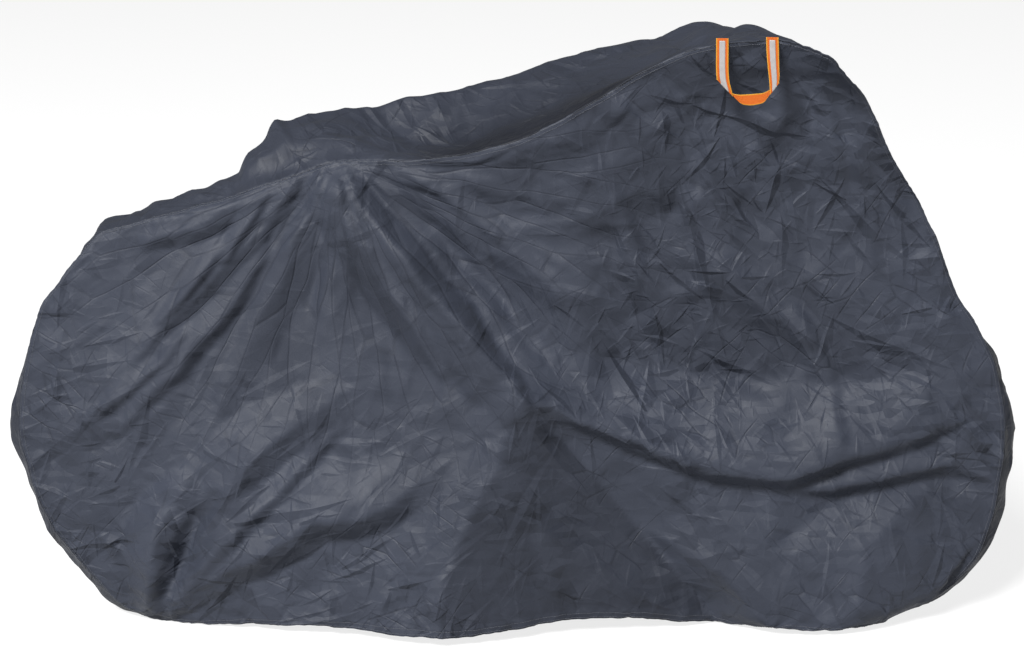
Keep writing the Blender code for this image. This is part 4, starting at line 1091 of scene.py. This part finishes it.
# ---- Far side panel -----------------------------------------------------------------------------
# The same cloth, sewn and hemmed in the same way. It hangs more freely than the near one, because
# the far pedal is low and holds it out near the hem.
FAR_HEM = [
    (-0.560, 0.072, 0.004), (-0.410, 0.108, 0.014), (-0.260, 0.132, 0.022), (-0.110, 0.150, 0.016),
    (0.030, 0.160, 0.020), (0.180, 0.140, 0.030), (0.330, 0.118, 0.018), (0.470, 0.096, 0.006),
    (0.600, 0.068, 0.002),
]
FAR_POSTS = [
    ("pedal",     (-0.020, 0.150), 0.120, 0.040),
    ("front hub", (0.545, 0.330),  0.150, 0.012),
    ("rear hub",  (-0.505, 0.330), 0.170, 0.016),
]
FAR_FOLDS = [
    ("saddle to pedal", [(-0.290, 0.820), (-0.170, 0.520), (-0.030, 0.190)], 0.090, 0.045, 0.026),
    ("beside it", [(-0.270, 0.780), (-0.220, 0.560), (-0.130, 0.330)], 0.045, 0.018, 0.010),
    ("saddle to wheel", [(-0.360, 0.800), (-0.520, 0.610), (-0.690, 0.420)], 0.075, 0.035, 0.020),
    ("saddle to stay", [(-0.330, 0.800), (-0.430, 0.600), (-0.560, 0.380)], 0.050, 0.030, 0.014),
    ("over the wheel", [(-0.430, 0.790), (-0.560, 0.730), (-0.680, 0.650)], 0.035, 0.035, 0.011),
    ("wheel to hem", [(-0.230, 0.350), (-0.420, 0.190), (-0.600, 0.060)], 0.080, 0.035, 0.020),
    ("rear corner", [(-0.540, 0.300), (-0.610, 0.160), (-0.640, 0.060)], 0.040, 0.030, 0.014),
    ("pedal rear", [(-0.040, 0.150), (-0.110, 0.080), (-0.160, 0.015)], 0.050, 0.035, 0.014),
    ("pedal front", [(0.000, 0.160), (0.120, 0.080), (0.200, 0.015)], 0.050, 0.060, 0.014),
    ("bar to middle", [(0.250, 0.900), (0.160, 0.700), (0.040, 0.440)], 0.050, 0.070, 0.018),
    ("bar to hub", [(0.340, 0.900), (0.360, 0.640), (0.300, 0.380)], 0.045, 0.030, 0.012),
    ("swag", [(0.060, 0.420), (0.300, 0.270), (0.520, 0.260)], 0.040, 0.090, 0.022),
    ("swag to front", [(0.520, 0.260), (0.660, 0.310), (0.800, 0.390)], 0.080, 0.035, 0.018),
    ("bar to fork", [(0.400, 0.900), (0.480, 0.720), (0.600, 0.520)], 0.060, 0.035, 0.015),
    ("grip", [(0.380, 0.920), (0.400, 0.820), (0.450, 0.700)], 0.040, 0.025, 0.010),
    ("under the bar", [(0.000, 0.560), (0.200, 0.500), (0.450, 0.470)], 0.140, 0.180, -0.024),
]
FAR_CRUMPLED = [
    ((0.200, 0.640), 0.300, 0.7),
    ((-0.520, 0.300), 0.250, 0.3),
    ((0.400, 0.180), 0.260, -0.4),
]
FAR_TAUT = [((-0.300, 0.851), 0.60), ((-0.020, 0.150), 0.25), ((0.390, 0.980), 0.30)]
far_seam = stations[:, 3:6]
far_edges = side_edges(far_seam, FAR_HEM)
far_surface, far_cut, far_sharp = side_panel(far_edges, FAR_POSTS, FAR_FOLDS, None, FAR_CRUMPLED,
                                             CRUMPLES, (-0.300, 0.851), 1.0, 71)
far_hold = held_at_edges(far_surface, 0.25)
far_surface = double(settle(halve(far_surface), halve(far_hold), SPARE_CLOTH, SETTLING_FRAMES, 6))
towards_far = np.array([0.0, 1.0, 0.0])
far_surface = crease_sheet(far_surface, far_sharp, far_cut, towards_far, far_seam, CREASES,
                           crumpled_share(FAR_CRUMPLED), drawn_from(FAR_TAUT), 950)
far_directions = seam_directions(1.0)
far_drawn = gathers(far_seam, 401)
far_surface = work_hem(far_surface, far_edges[0], towards_far, 411)
far_surface = work_edges(far_surface, towards_far, far_seam, far_directions, far_drawn, True)
far_panel = sheet_object("far_panel_cloth", far_surface, far_cut, cover_cloth,
                         {"crumpled": crumpled_share(FAR_CRUMPLED)(far_cut)})
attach(far_panel, "root")
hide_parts("far_side_panel")

# ---- Centre strip -------------------------------------------------------------------------------
# A long gusset between the two side panels. It rises over the rear wheel, the saddle and the two
# ends of the bar, and sinks into a shallow valley between the saddle and the bar.
STRIP_FOLDS = [
    # part, along, rear half length, front half length, height, lean (metres along per metre across)
    ("top",   0.075, 0.035, 0.050, 0.007, 0.2),
    ("top",   0.130, 0.030, 0.020, 0.006, -0.3),
    ("top",   0.200, 0.030, 0.020, -0.012, 0.1),
    ("top",   0.245, 0.016, 0.020, 0.008, 0.2),
    ("top",   0.270, 0.018, 0.014, 0.007, -0.2),
    ("top",   0.330, 0.030, 0.045, 0.006, 0.3),
    ("top",   0.520, 0.060, 0.060, -0.010, 0.3),
    ("top",   0.700, 0.060, 0.060, 0.006, -0.2),
    ("top",   0.865, 0.045, 0.045, -0.016, 0.0),
    ("front", 0.160, 0.070, 0.050, -0.008, 0.1),
    ("front", 0.330, 0.050, 0.070, 0.007, -0.1),
    ("rear",  0.500, 0.070, 0.050, 0.005, 0.1),
]
SAG_REAR = -0.240                  # painted shade where the strip sags between its ridges, ahead of the saddle
SAG_FRONT = 0.300
SAG_FADE = 0.160
SAG_ABOVE = 0.80
SAG_ACROSS = 0.80                  # from the near seam, as a share of the width
SAG_STEEP = 1.3
ENDS_PAINTED_SHADE = 0.40                  # and painted shade on its two ends, which hang straight down
ENDS_TOP = 0.72
ENDS_FADE = 0.20
STRIP_CRUMPLED = 0.55
RIDGE_ROUNDS = 3                   # of smoothing of the ridges across it
STRIP_FACETS = 0.85                # its facets' size, to the side panels'
STRIP_CALM = 0.03
STRIP_HOLD = 0.20
STRIP_SPARE = 0.03
STRIP_FRAMES = 20
STRIP_CREASED = 0.6
STRIP_HEADING = (math.pi / 2.0, 0.35)    # its creases run across it, more or less
# the side panels' cloth with its colour painted darker all over: painted shade on the strip
STRIP_PAINTED_SHADE_LIGHT = (0.0165, 0.0190, 0.0270, 1.0)
STRIP_PAINTED_SHADE_DARK = (0.0122, 0.0141, 0.0202, 1.0)
STRIP_CREASES = [
    (60,   (0.060, 0.160), (0.016, 0.040), (0.009, 0.016), (0.0020, 0.0050)),
    (400,  (0.030, 0.080), (0.009, 0.020), (0.0060, 0.0090), (0.0010, 0.0026)),
]
near_in, near_out, middle_out, far_in, far_out = stations[:, 6:11].T
share_across = np.linspace(0.0, 1.0, ACROSS + 1)
station_number = np.arange(len(stations))
rise = np.empty((ACROSS + 1, len(stations)))
for index in station_number:
    knots = [0.0, near_in[index], 0.5, 1.0 - far_in[index], 1.0]
    rise[:, index] = np.interp(share_across, knots,
                               [0.0, near_out[index], middle_out[index], far_out[index], 0.0])
for _turn in range(RIDGE_ROUNDS):
    rise[1:-1] = (rise[:-2] + 2.0 * rise[1:-1] + rise[2:]) / 4.0
width_there = np.linalg.norm(stations[:, 3:6] - stations[:, 0:3], axis=1)
run_there = run_along(middles)
strip_cut = np.empty((ACROSS + 1, len(stations), 2))
strip_cut[:, :, 0] = run_there[None, :]
strip_cut[:, :, 1] = (share_across[:, None] - 0.5) * width_there[None, :]
round_off = 4.0 * share_across * (1.0 - share_across)
part_starts = {"rear": (0, ROWS), "top": (ROWS, COLUMNS), "front": (ROWS + COLUMNS, ROWS)}
strip_sharp = np.zeros_like(rise)
for part, place, rear_length, front_length, height, lean in STRIP_FOLDS:
    start, cells = part_starts[part]
    away = (station_number[None, :] - start) / cells - place - lean * strip_cut[:, :, 1]
    away = np.where(away < 0.0, away / rear_length, away / front_length)
    rise += height * np.clip(1.0 - np.abs(away), 0.0, 1.0) * round_off[:, None]
for number, (_name, spacing, height) in enumerate(CRUMPLES):
    field = facets(strip_cut[:, :, 0], strip_cut[:, :, 1] * 1.2, spacing * STRIP_FACETS, 140 + number)
    calm = ease(np.minimum(share_across, 1.0 - share_across)[:, None] * width_there[None, :] / STRIP_CALM)
    if number == 0:
        rise += height * field * calm
    else:
        strip_sharp += height * field * calm
strip_surface = (stations[None, :, 0:3] + share_across[:, None, None]
                 * (stations[None, :, 3:6] - stations[None, :, 0:3]))
strip_surface = strip_surface + rise[:, :, None] * strip_outward[None, :, :]
strip_hold = np.full(strip_surface.shape[:2], STRIP_HOLD)
strip_hold[[0, -1], :] = 1.0
strip_hold[:, [0, -1]] = 1.0
strip_surface = double(settle(halve(strip_surface), halve(strip_hold), STRIP_SPARE, STRIP_FRAMES, 7))
outward_hint = strip_outward[None, :, :]
both_seams = np.vstack([near_seam, far_seam])
strip_surface = crease_sheet(strip_surface, strip_sharp, strip_cut, outward_hint, both_seams, STRIP_CREASES,
                             lambda place: STRIP_CREASED, lambda place: STRIP_HEADING, 970)
for seam, directions, drawn in ((near_seam, near_directions, near_drawn),
                                (far_seam, far_directions, far_drawn)):
    strip_surface = work_edges(strip_surface, outward_hint, seam, directions, drawn, False)
strip_surface[:, :, 2] = np.maximum(strip_surface[:, :, 2], FLOOR_CLEAR)
# painted shade: how much darker the strip's colour is painted where it sags and at its ends
strip_painted_shade = (ease((middles[:, 0] - SAG_REAR) / SAG_FADE) * ease((SAG_FRONT - middles[:, 0]) / SAG_FADE)
           * (middles[:, 2] > SAG_ABOVE))
strip_painted_shade = strip_painted_shade[None, :] * ease((SAG_ACROSS - share_across) / SAG_ACROSS * SAG_STEEP)[:, None]
strip_painted_shade = np.maximum(strip_painted_shade, ENDS_PAINTED_SHADE * ease((ENDS_TOP - middles[:, 2]) / ENDS_FADE)[None, :])
strip_finish = cloth_finish("strip_cloth", STRIP_PAINTED_SHADE_LIGHT, STRIP_PAINTED_SHADE_DARK, [])
strip_cloth = sheet_object("centre_strip_cloth", strip_surface, strip_cut, strip_finish,
                           {"painted_shade": strip_painted_shade, "crumpled": np.full_like(strip_painted_shade, STRIP_CRUMPLED)})
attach(strip_cloth, "root")
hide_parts("centre_strip")

# ---- Stitching ----------------------------------------------------------------------------------
# Two rows of lockstitch in dark polyester thread run along each long seam and each hem. The thread
# dips into the cloth between one stitch and the next.
STITCH_PITCH = 0.005
STITCH_SHAPE = (0.0, 0.18, 0.72)   # in the cloth, and where it lies on top, as shares of a stitch
THREAD_RADIUS = 0.00035
THREAD_LIFT = 0.00040
SEAM_ROWS = (0.002, 0.008)
HEM_ROWS = (0.004, 0.014)
REACH = 6                          # cells in from an edge that the rows of stitches lie within
STRIP_REACH = 8
CORNER_CELL = 0.005                # a row turns a corner this many metres to a cell in from its end
HEM_SKIP = 3

thread_finish = bpy.data.materials.new("dark_thread")
thread_finish.use_nodes = True
thread_tree = thread_finish.node_tree
thread_shader = thread_tree.nodes["Principled BSDF"]
place_on_it = add_node(thread_tree, "TexCoord").outputs["Object"]
strands = add_node(thread_tree, "TexNoise", Vector=place_on_it, Scale=1500.0, Detail=2.0)
strand_colour = add_node(thread_tree, "Mix", set_data_type="RGBA", in_0=strands.outputs["Fac"],
                         in_6=(0.016, 0.018, 0.025, 1.0), in_7=(0.046, 0.050, 0.062, 1.0))
thread_tree.links.new(strand_colour.outputs[2], thread_shader.inputs["Base Color"])
strand_bump = add_node(thread_tree, "Bump", Strength=0.6, Distance=0.0001,
                       Height=strands.outputs["Fac"])
thread_tree.links.new(strand_bump.outputs["Normal"], thread_shader.inputs["Normal"])
thread_shader.inputs["Roughness"].default_value = 0.6


def line_inside(lines, normals, distance):
    """For each line that starts at an edge, the point at a distance along it, and the normal there."""
    points = []
    facing = []
    for line, normal in zip(lines, normals):
        run = run_along(line)
        points.append([np.interp(distance, run, column) for column in line.T])
        facing.append([np.interp(distance, run, column) for column in normal.T])
    return np.array(points), unit(np.array(facing))


def stitches(name, rows_of_stitches):
    """One piece of thread rows; each row is a line on the cloth and the normals along it."""
    curve = bpy.data.curves.new(name, "CURVE")
    curve.dimensions = "3D"
    curve.bevel_depth = THREAD_RADIUS
    curve.bevel_resolution = 0
    curve.use_fill_caps = True
    for line, normals in rows_of_stitches:
        run = run_along(line)
        count = int(run[-1] / STITCH_PITCH)
        places = (np.arange(count)[:, None] + np.array(STITCH_SHAPE)).ravel() * run[-1] / count
        lift = np.tile([-THREAD_RADIUS, THREAD_LIFT, THREAD_LIFT], count)
        points = np.column_stack([np.interp(places, run, column) for column in line.T])
        facing = unit(np.column_stack([np.interp(places, run, column) for column in normals.T]))
        points = points + facing * lift[:, None]
        spline = curve.splines.new("POLY")
        spline.points.add(len(points) - 1)
        spline.points.foreach_set("co", np.column_stack([points, np.ones(len(points))]).ravel())
    made = bpy.data.objects.new(name, curve)
    bpy.context.scene.collection.objects.link(made)
    data = bpy.data.meshes.new_from_object(made)
    bpy.data.objects.remove(made, do_unlink=True)
    data.name = name
    data.materials.clear()
    data.materials.append(thread_finish)
    thing = bpy.data.objects.new(name, data)
    bpy.context.scene.collection.objects.link(thing)
    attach(thing, "root")
    return thing


def panel_stitches(side, surface, hint):
    """The seam's and the hem's stitches of one side panel, as two pieces."""
    normals = normals_of(surface, hint)
    seam_rows = []
    for distance in SEAM_ROWS:
        rear = line_inside(surface[:, :REACH], normals[:, :REACH], distance)
        top = line_inside(surface[:-REACH:-1].transpose(1, 0, 2), normals[:-REACH:-1].transpose(1, 0, 2),
                          distance)
        front = line_inside(surface[:, :-REACH:-1], normals[:, :-REACH:-1], distance)
        cut_off = int(np.ceil(distance / CORNER_CELL)) + 1
        line = np.concatenate([rear[0][2:-cut_off], top[0][cut_off:-cut_off], front[0][-cut_off:2:-1]])
        facing = np.concatenate([rear[1][2:-cut_off], top[1][cut_off:-cut_off], front[1][-cut_off:2:-1]])
        seam_rows.append((line, facing))
    hem_rows = []
    for distance in HEM_ROWS:
        line, facing = line_inside(surface[:REACH].transpose(1, 0, 2), normals[:REACH].transpose(1, 0, 2),
                                   distance)
        hem_rows.append((line[HEM_SKIP:-HEM_SKIP], facing[HEM_SKIP:-HEM_SKIP]))
    return stitches(f"{side}_seam_stitches", seam_rows), stitches(f"{side}_hem_stitches", hem_rows)


near_stitches = panel_stitches("near", near_surface, towards_near)
far_stitches = panel_stitches("far", far_surface, towards_far)
strip_normals = normals_of(strip_surface, outward_hint)
strip_rows = []
for distance in HEM_ROWS:
    for lines, facing in ((strip_surface[:, :STRIP_REACH], strip_normals[:, :STRIP_REACH]),
                          (strip_surface[:, :-STRIP_REACH:-1], strip_normals[:, :-STRIP_REACH:-1])):
        strip_rows.append(line_inside(lines, facing, distance))
strip_stitches = stitches("strip_hem_stitches", strip_rows)

# ---- Handle loop --------------------------------------------------------------------------------
# Orange polyester webbing, 21 mm wide, caught in the near seam at both ends. It is turned over on
# the diagonal at both lower corners, so its plain reverse shows along the bottom.
WEBBING_LAYER = 0.0011
RIB_PITCH = 0.0016                 # its weave
RIB_HEIGHT = 0.00012
HERRINGBONE = 0.0026
WARP_PITCH = 0.0009
WARP_HEIGHT = 0.00005
EDGE_BAND = (0.0022, 0.0008)       # its firmer edge: from, to, measured from the side
EDGE_HEIGHT = 0.00025
LEG_CELLS = 48
RUN_CELLS = 48
ROLL_CELLS = 8
WIDTH_CELLS = 12
# Millimetres sideways and up from the middle of the seam between the two legs: where the webbing's
# outer or upper edge is, and where its inner or lower edge is, at places along it.
REAR_LEG = [
    ((-50.0, 5.0), (-30.0, 5.0)), ((-49.6, -14.0), (-29.6, -14.0)), ((-49.3, -30.0), (-29.3, -31.0)),
    ((-48.9, -45.0), (-28.4, -51.0)), ((-48.3, -55.0), (-26.0, -68.0)), ((-47.5, -60.0), (-20.0, -88.0)),
]
BOTTOM_RUN = [
    ((-47.5, -60.0), (-20.0, -88.0)), ((-37.0, -73.0), (-15.5, -92.5)), ((-27.0, -81.5), (-10.0, -98.0)),
    ((-14.0, -85.3), (-3.6, -101.5)), ((2.8, -84.8), (7.4, -102.6)), ((16.0, -83.5), (18.5, -101.0)),
    ((29.0, -81.5), (29.0, -97.5)), ((42.0, -73.5), (35.0, -89.5)), ((52.4, -64.4), (38.6, -83.8)),
]
FRONT_LEG = [
    ((52.4, -64.4), (38.6, -83.8)), ((53.2, -57.0), (37.8, -71.0)), ((53.0, -49.0), (36.2, -57.0)),
    ((52.2, -39.0), (34.2, -42.0)), ((51.0, -18.0), (31.4, -18.0)), ((49.6, 8.0), (29.8, 8.0)),
]


def rulings(table, cells):
    """The two edges of one part of the webbing, in metres in the loop's plane, row by row."""
    rows = smooth_curve([[*first, 0.0, *second] for first, second in table], cells) / 1000.0
    return rows[:, 0:2], rows[:, 3:5]


def rolled(first, second, side):
    """Rows round a corner's diagonal fold, from the front layer to the back one."""
    middle = WEBBING_LAYER / 2.0
    line = unit(second - first)
    away = np.array([line[1], -line[0]]) * side
    turn = np.linspace(0.0, np.pi, ROLL_CELLS + 1)[1:-1]
    out = np.sin(turn)[:, None] * away * middle
    return first + out, second + out, middle * np.cos(turn)


def webbing_rows():
    """The whole webbing: its two edges in the plane, and how far each row is from the middle layer."""
    rear = rulings(REAR_LEG, LEG_CELLS)
    run = rulings(BOTTOM_RUN, RUN_CELLS)
    front = rulings(FRONT_LEG, LEG_CELLS)
    rear_roll = rolled(rear[0][-1], rear[1][-1], 1.0)
    front_roll = rolled(front[0][0], front[1][0], -1.0)
    middle = WEBBING_LAYER / 2.0
    first = np.vstack([rear[0], rear_roll[0], run[0], front_roll[0][::-1], front[0]])
    second = np.vstack([rear[1], rear_roll[1], run[1], front_roll[1][::-1], front[1]])
    layer = np.concatenate([np.full(LEG_CELLS + 1, middle), rear_roll[2], np.full(RUN_CELLS + 1, -middle),
                            front_roll[2][::-1], np.full(LEG_CELLS + 1, middle)])
    return first, second, layer


def on_loop(first, second, layer, shares, lift):
    """Points of the webbing, or of something on its face, in the row frame."""
    flat = first[None, :, :] + shares[:, None, None] * (second - first)[None, :, :]
    depth = loop_offset(flat[:, :, 1]) + WEBBING_LAYER * 1.05 + layer[None, :]
    points = (loop_middle + flat[:, :, 0:1] * loop_sideways + flat[:, :, 1:2] * loop_up
              + depth[:, :, None] * loop_outward)
    if lift:
        normals = normals_of(points, loop_outward)
        points = points + normals * lift
    return points


def webbing_finish(name, middle_colour, edge_colour, half_width):
    """Plain woven webbing: ribs across it, herringbone between them, and a firmer, paler edge."""
    finish = bpy.data.materials.new(name)
    finish.use_nodes = True
    tree = finish.node_tree
    shader = tree.nodes["Principled BSDF"]
    shader.inputs["Sheen Weight"].default_value = 0.05
    shader.inputs["Specular IOR Level"].default_value = 0.15
    shader.inputs["Sheen Roughness"].default_value = 0.4
    shader.inputs["Roughness"].default_value = 0.55
    cut = add_node(tree, "UVMap", set_uv_map="cut").outputs["UV"]
    parts = add_node(tree, "SeparateXYZ", Vector=cut)
    calc, _vector, ramp = short_forms(tree)
    zigzag = calc("PINGPONG", parts.outputs["X"], HERRINGBONE)
    ribs = calc("SINE", calc("MULTIPLY", calc("ADD", parts.outputs["Y"], zigzag),
                             2.0 * math.pi / RIB_PITCH))
    warps = calc("SINE", calc("MULTIPLY", parts.outputs["X"], 2.0 * math.pi / WARP_PITCH))
    at_edge = ramp(calc("ABSOLUTE", parts.outputs["X"]), half_width - EDGE_BAND[0], half_width - EDGE_BAND[1])
    fleck = add_node(tree, "TexNoise", Vector=cut, Scale=700.0, Detail=2.0).outputs["Fac"]
    height = calc("ADD", calc("MULTIPLY", ribs, RIB_HEIGHT),
                  calc("ADD", calc("MULTIPLY", warps, WARP_HEIGHT), calc("MULTIPLY", at_edge, EDGE_HEIGHT)))
    bump = add_node(tree, "Bump", Strength=1.0, Distance=1.0, Height=height)
    tree.links.new(bump.outputs["Normal"], shader.inputs["Normal"])
    shade = add_node(tree, "Mix", set_data_type="RGBA", in_0=at_edge, in_6=middle_colour,
                     in_7=edge_colour)
    darker = add_node(tree, "Mix", set_data_type="RGBA", set_blend_type="MULTIPLY",
                      in_0=calc("MULTIPLY", fleck, 0.35), in_6=shade.outputs[2],
                      in_7=(0.72, 0.62, 0.50, 1.0))
    tree.links.new(darker.outputs[2], shader.inputs["Base Color"])
    return finish


def ribbon_object(name, points, half_width, finish, thickness):
    """A strip of webbing or tape with its thickness, from rows of points along it."""
    thing, row, column = grid_object(name, points)
    data = thing.data
    if data.polygons[0].normal.dot(Vector(loop_outward)) < 0.0:
        data.flip_normals()
    run = run_along(points[points.shape[0] // 2])
    across = np.linspace(-half_width, half_width, points.shape[0])
    corner = np.empty(len(data.loops), dtype=int)
    data.loops.foreach_get("vertex_index", corner)
    data.uv_layers.new(name="cut")
    data.uv_layers["cut"].data.foreach_set(
        "uv", np.column_stack([across[row[corner]], run[column[corner]]]).ravel())
    data.materials.append(finish)
    data.shade_smooth()
    wall = thing.modifiers.new("thickness", "SOLIDIFY")
    wall.thickness = thickness
    wall.offset = 0.0
    return thing


web_first, web_second, web_layer = webbing_rows()
handle_finish = webbing_finish("orange_webbing", (0.29, 0.060, 0.003, 1.0), (0.33, 0.165, 0.012, 1.0),
                               WEBBING_WIDTH / 2.0)
handle = ribbon_object("handle_webbing_loop",
                       on_loop(web_first, web_second, web_layer,
                               np.linspace(0.0, 1.0, WIDTH_CELLS + 1), 0.0),
                       WEBBING_WIDTH / 2.0, handle_finish, WEBBING_LAYER)
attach(handle, "root")
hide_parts("handle_loop")

# ---- Reflective tape on the handle's two legs ---------------------------------------------------
# Silver reflective tape, 10 mm wide, sewn to the webbing's face. It runs from the seam down to the
# diagonal folds, where it turns over with the webbing.
TAPE_WIDTH = 0.010
TAPE_SHARES = (0.26, 0.74)         # where its two edges lie across the webbing
TAPE_LAYER = 0.00030
TAPE_CLEAR = 0.00010

tape_finish = bpy.data.materials.new("silver_tape")
tape_finish.use_nodes = True
tape_tree = tape_finish.node_tree
tape_shader = tape_tree.nodes["Principled BSDF"]
tape_shader.inputs["Metallic"].default_value = 0.10
tape_shader.inputs["Specular IOR Level"].default_value = 0.3
tape_cut = add_node(tape_tree, "UVMap", set_uv_map="cut").outputs["UV"]
beads = add_node(tape_tree, "TexVoronoi", Vector=tape_cut, Scale=2500.0)
soiling = add_node(tape_tree, "TexNoise", Vector=tape_cut, Scale=120.0, Detail=3.0)
tape_colour = add_node(tape_tree, "Mix", set_data_type="RGBA", in_0=soiling.outputs["Fac"],
                       in_6=(0.148, 0.141, 0.142, 1.0), in_7=(0.202, 0.192, 0.190, 1.0))
tape_tree.links.new(tape_colour.outputs[2], tape_shader.inputs["Base Color"])
tape_dull = add_node(tape_tree, "MapRange", in_0=soiling.outputs["Fac"], in_1=0.3, in_2=0.7,
                     in_3=0.42, in_4=0.56)
tape_tree.links.new(tape_dull.outputs[0], tape_shader.inputs["Roughness"])
tape_bump = add_node(tape_tree, "Bump", Strength=0.4, Distance=0.0001,
                     Height=beads.outputs["Distance"])
tape_tree.links.new(tape_bump.outputs["Normal"], tape_shader.inputs["Normal"])

tape_lift = (WEBBING_LAYER + TAPE_LAYER) / 2.0 + TAPE_CLEAR
tape_across = np.linspace(*TAPE_SHARES, 7)
into_roll = ROLL_CELLS // 2
last_rear = LEG_CELLS + 1 + into_roll
first_front = len(web_first) - LEG_CELLS - 1 - into_roll
for leg, rows_taped in (("rear", slice(3, last_rear)), ("front", slice(first_front, -3))):
    taped = on_loop(web_first[rows_taped], web_second[rows_taped], web_layer[rows_taped], tape_across,
                    tape_lift)
    tape = ribbon_object(f"handle_{leg}_silver_tape", taped, TAPE_WIDTH / 2.0, tape_finish, TAPE_LAYER)
    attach(tape, "root")
    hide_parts(f"handle_tape_{leg}")
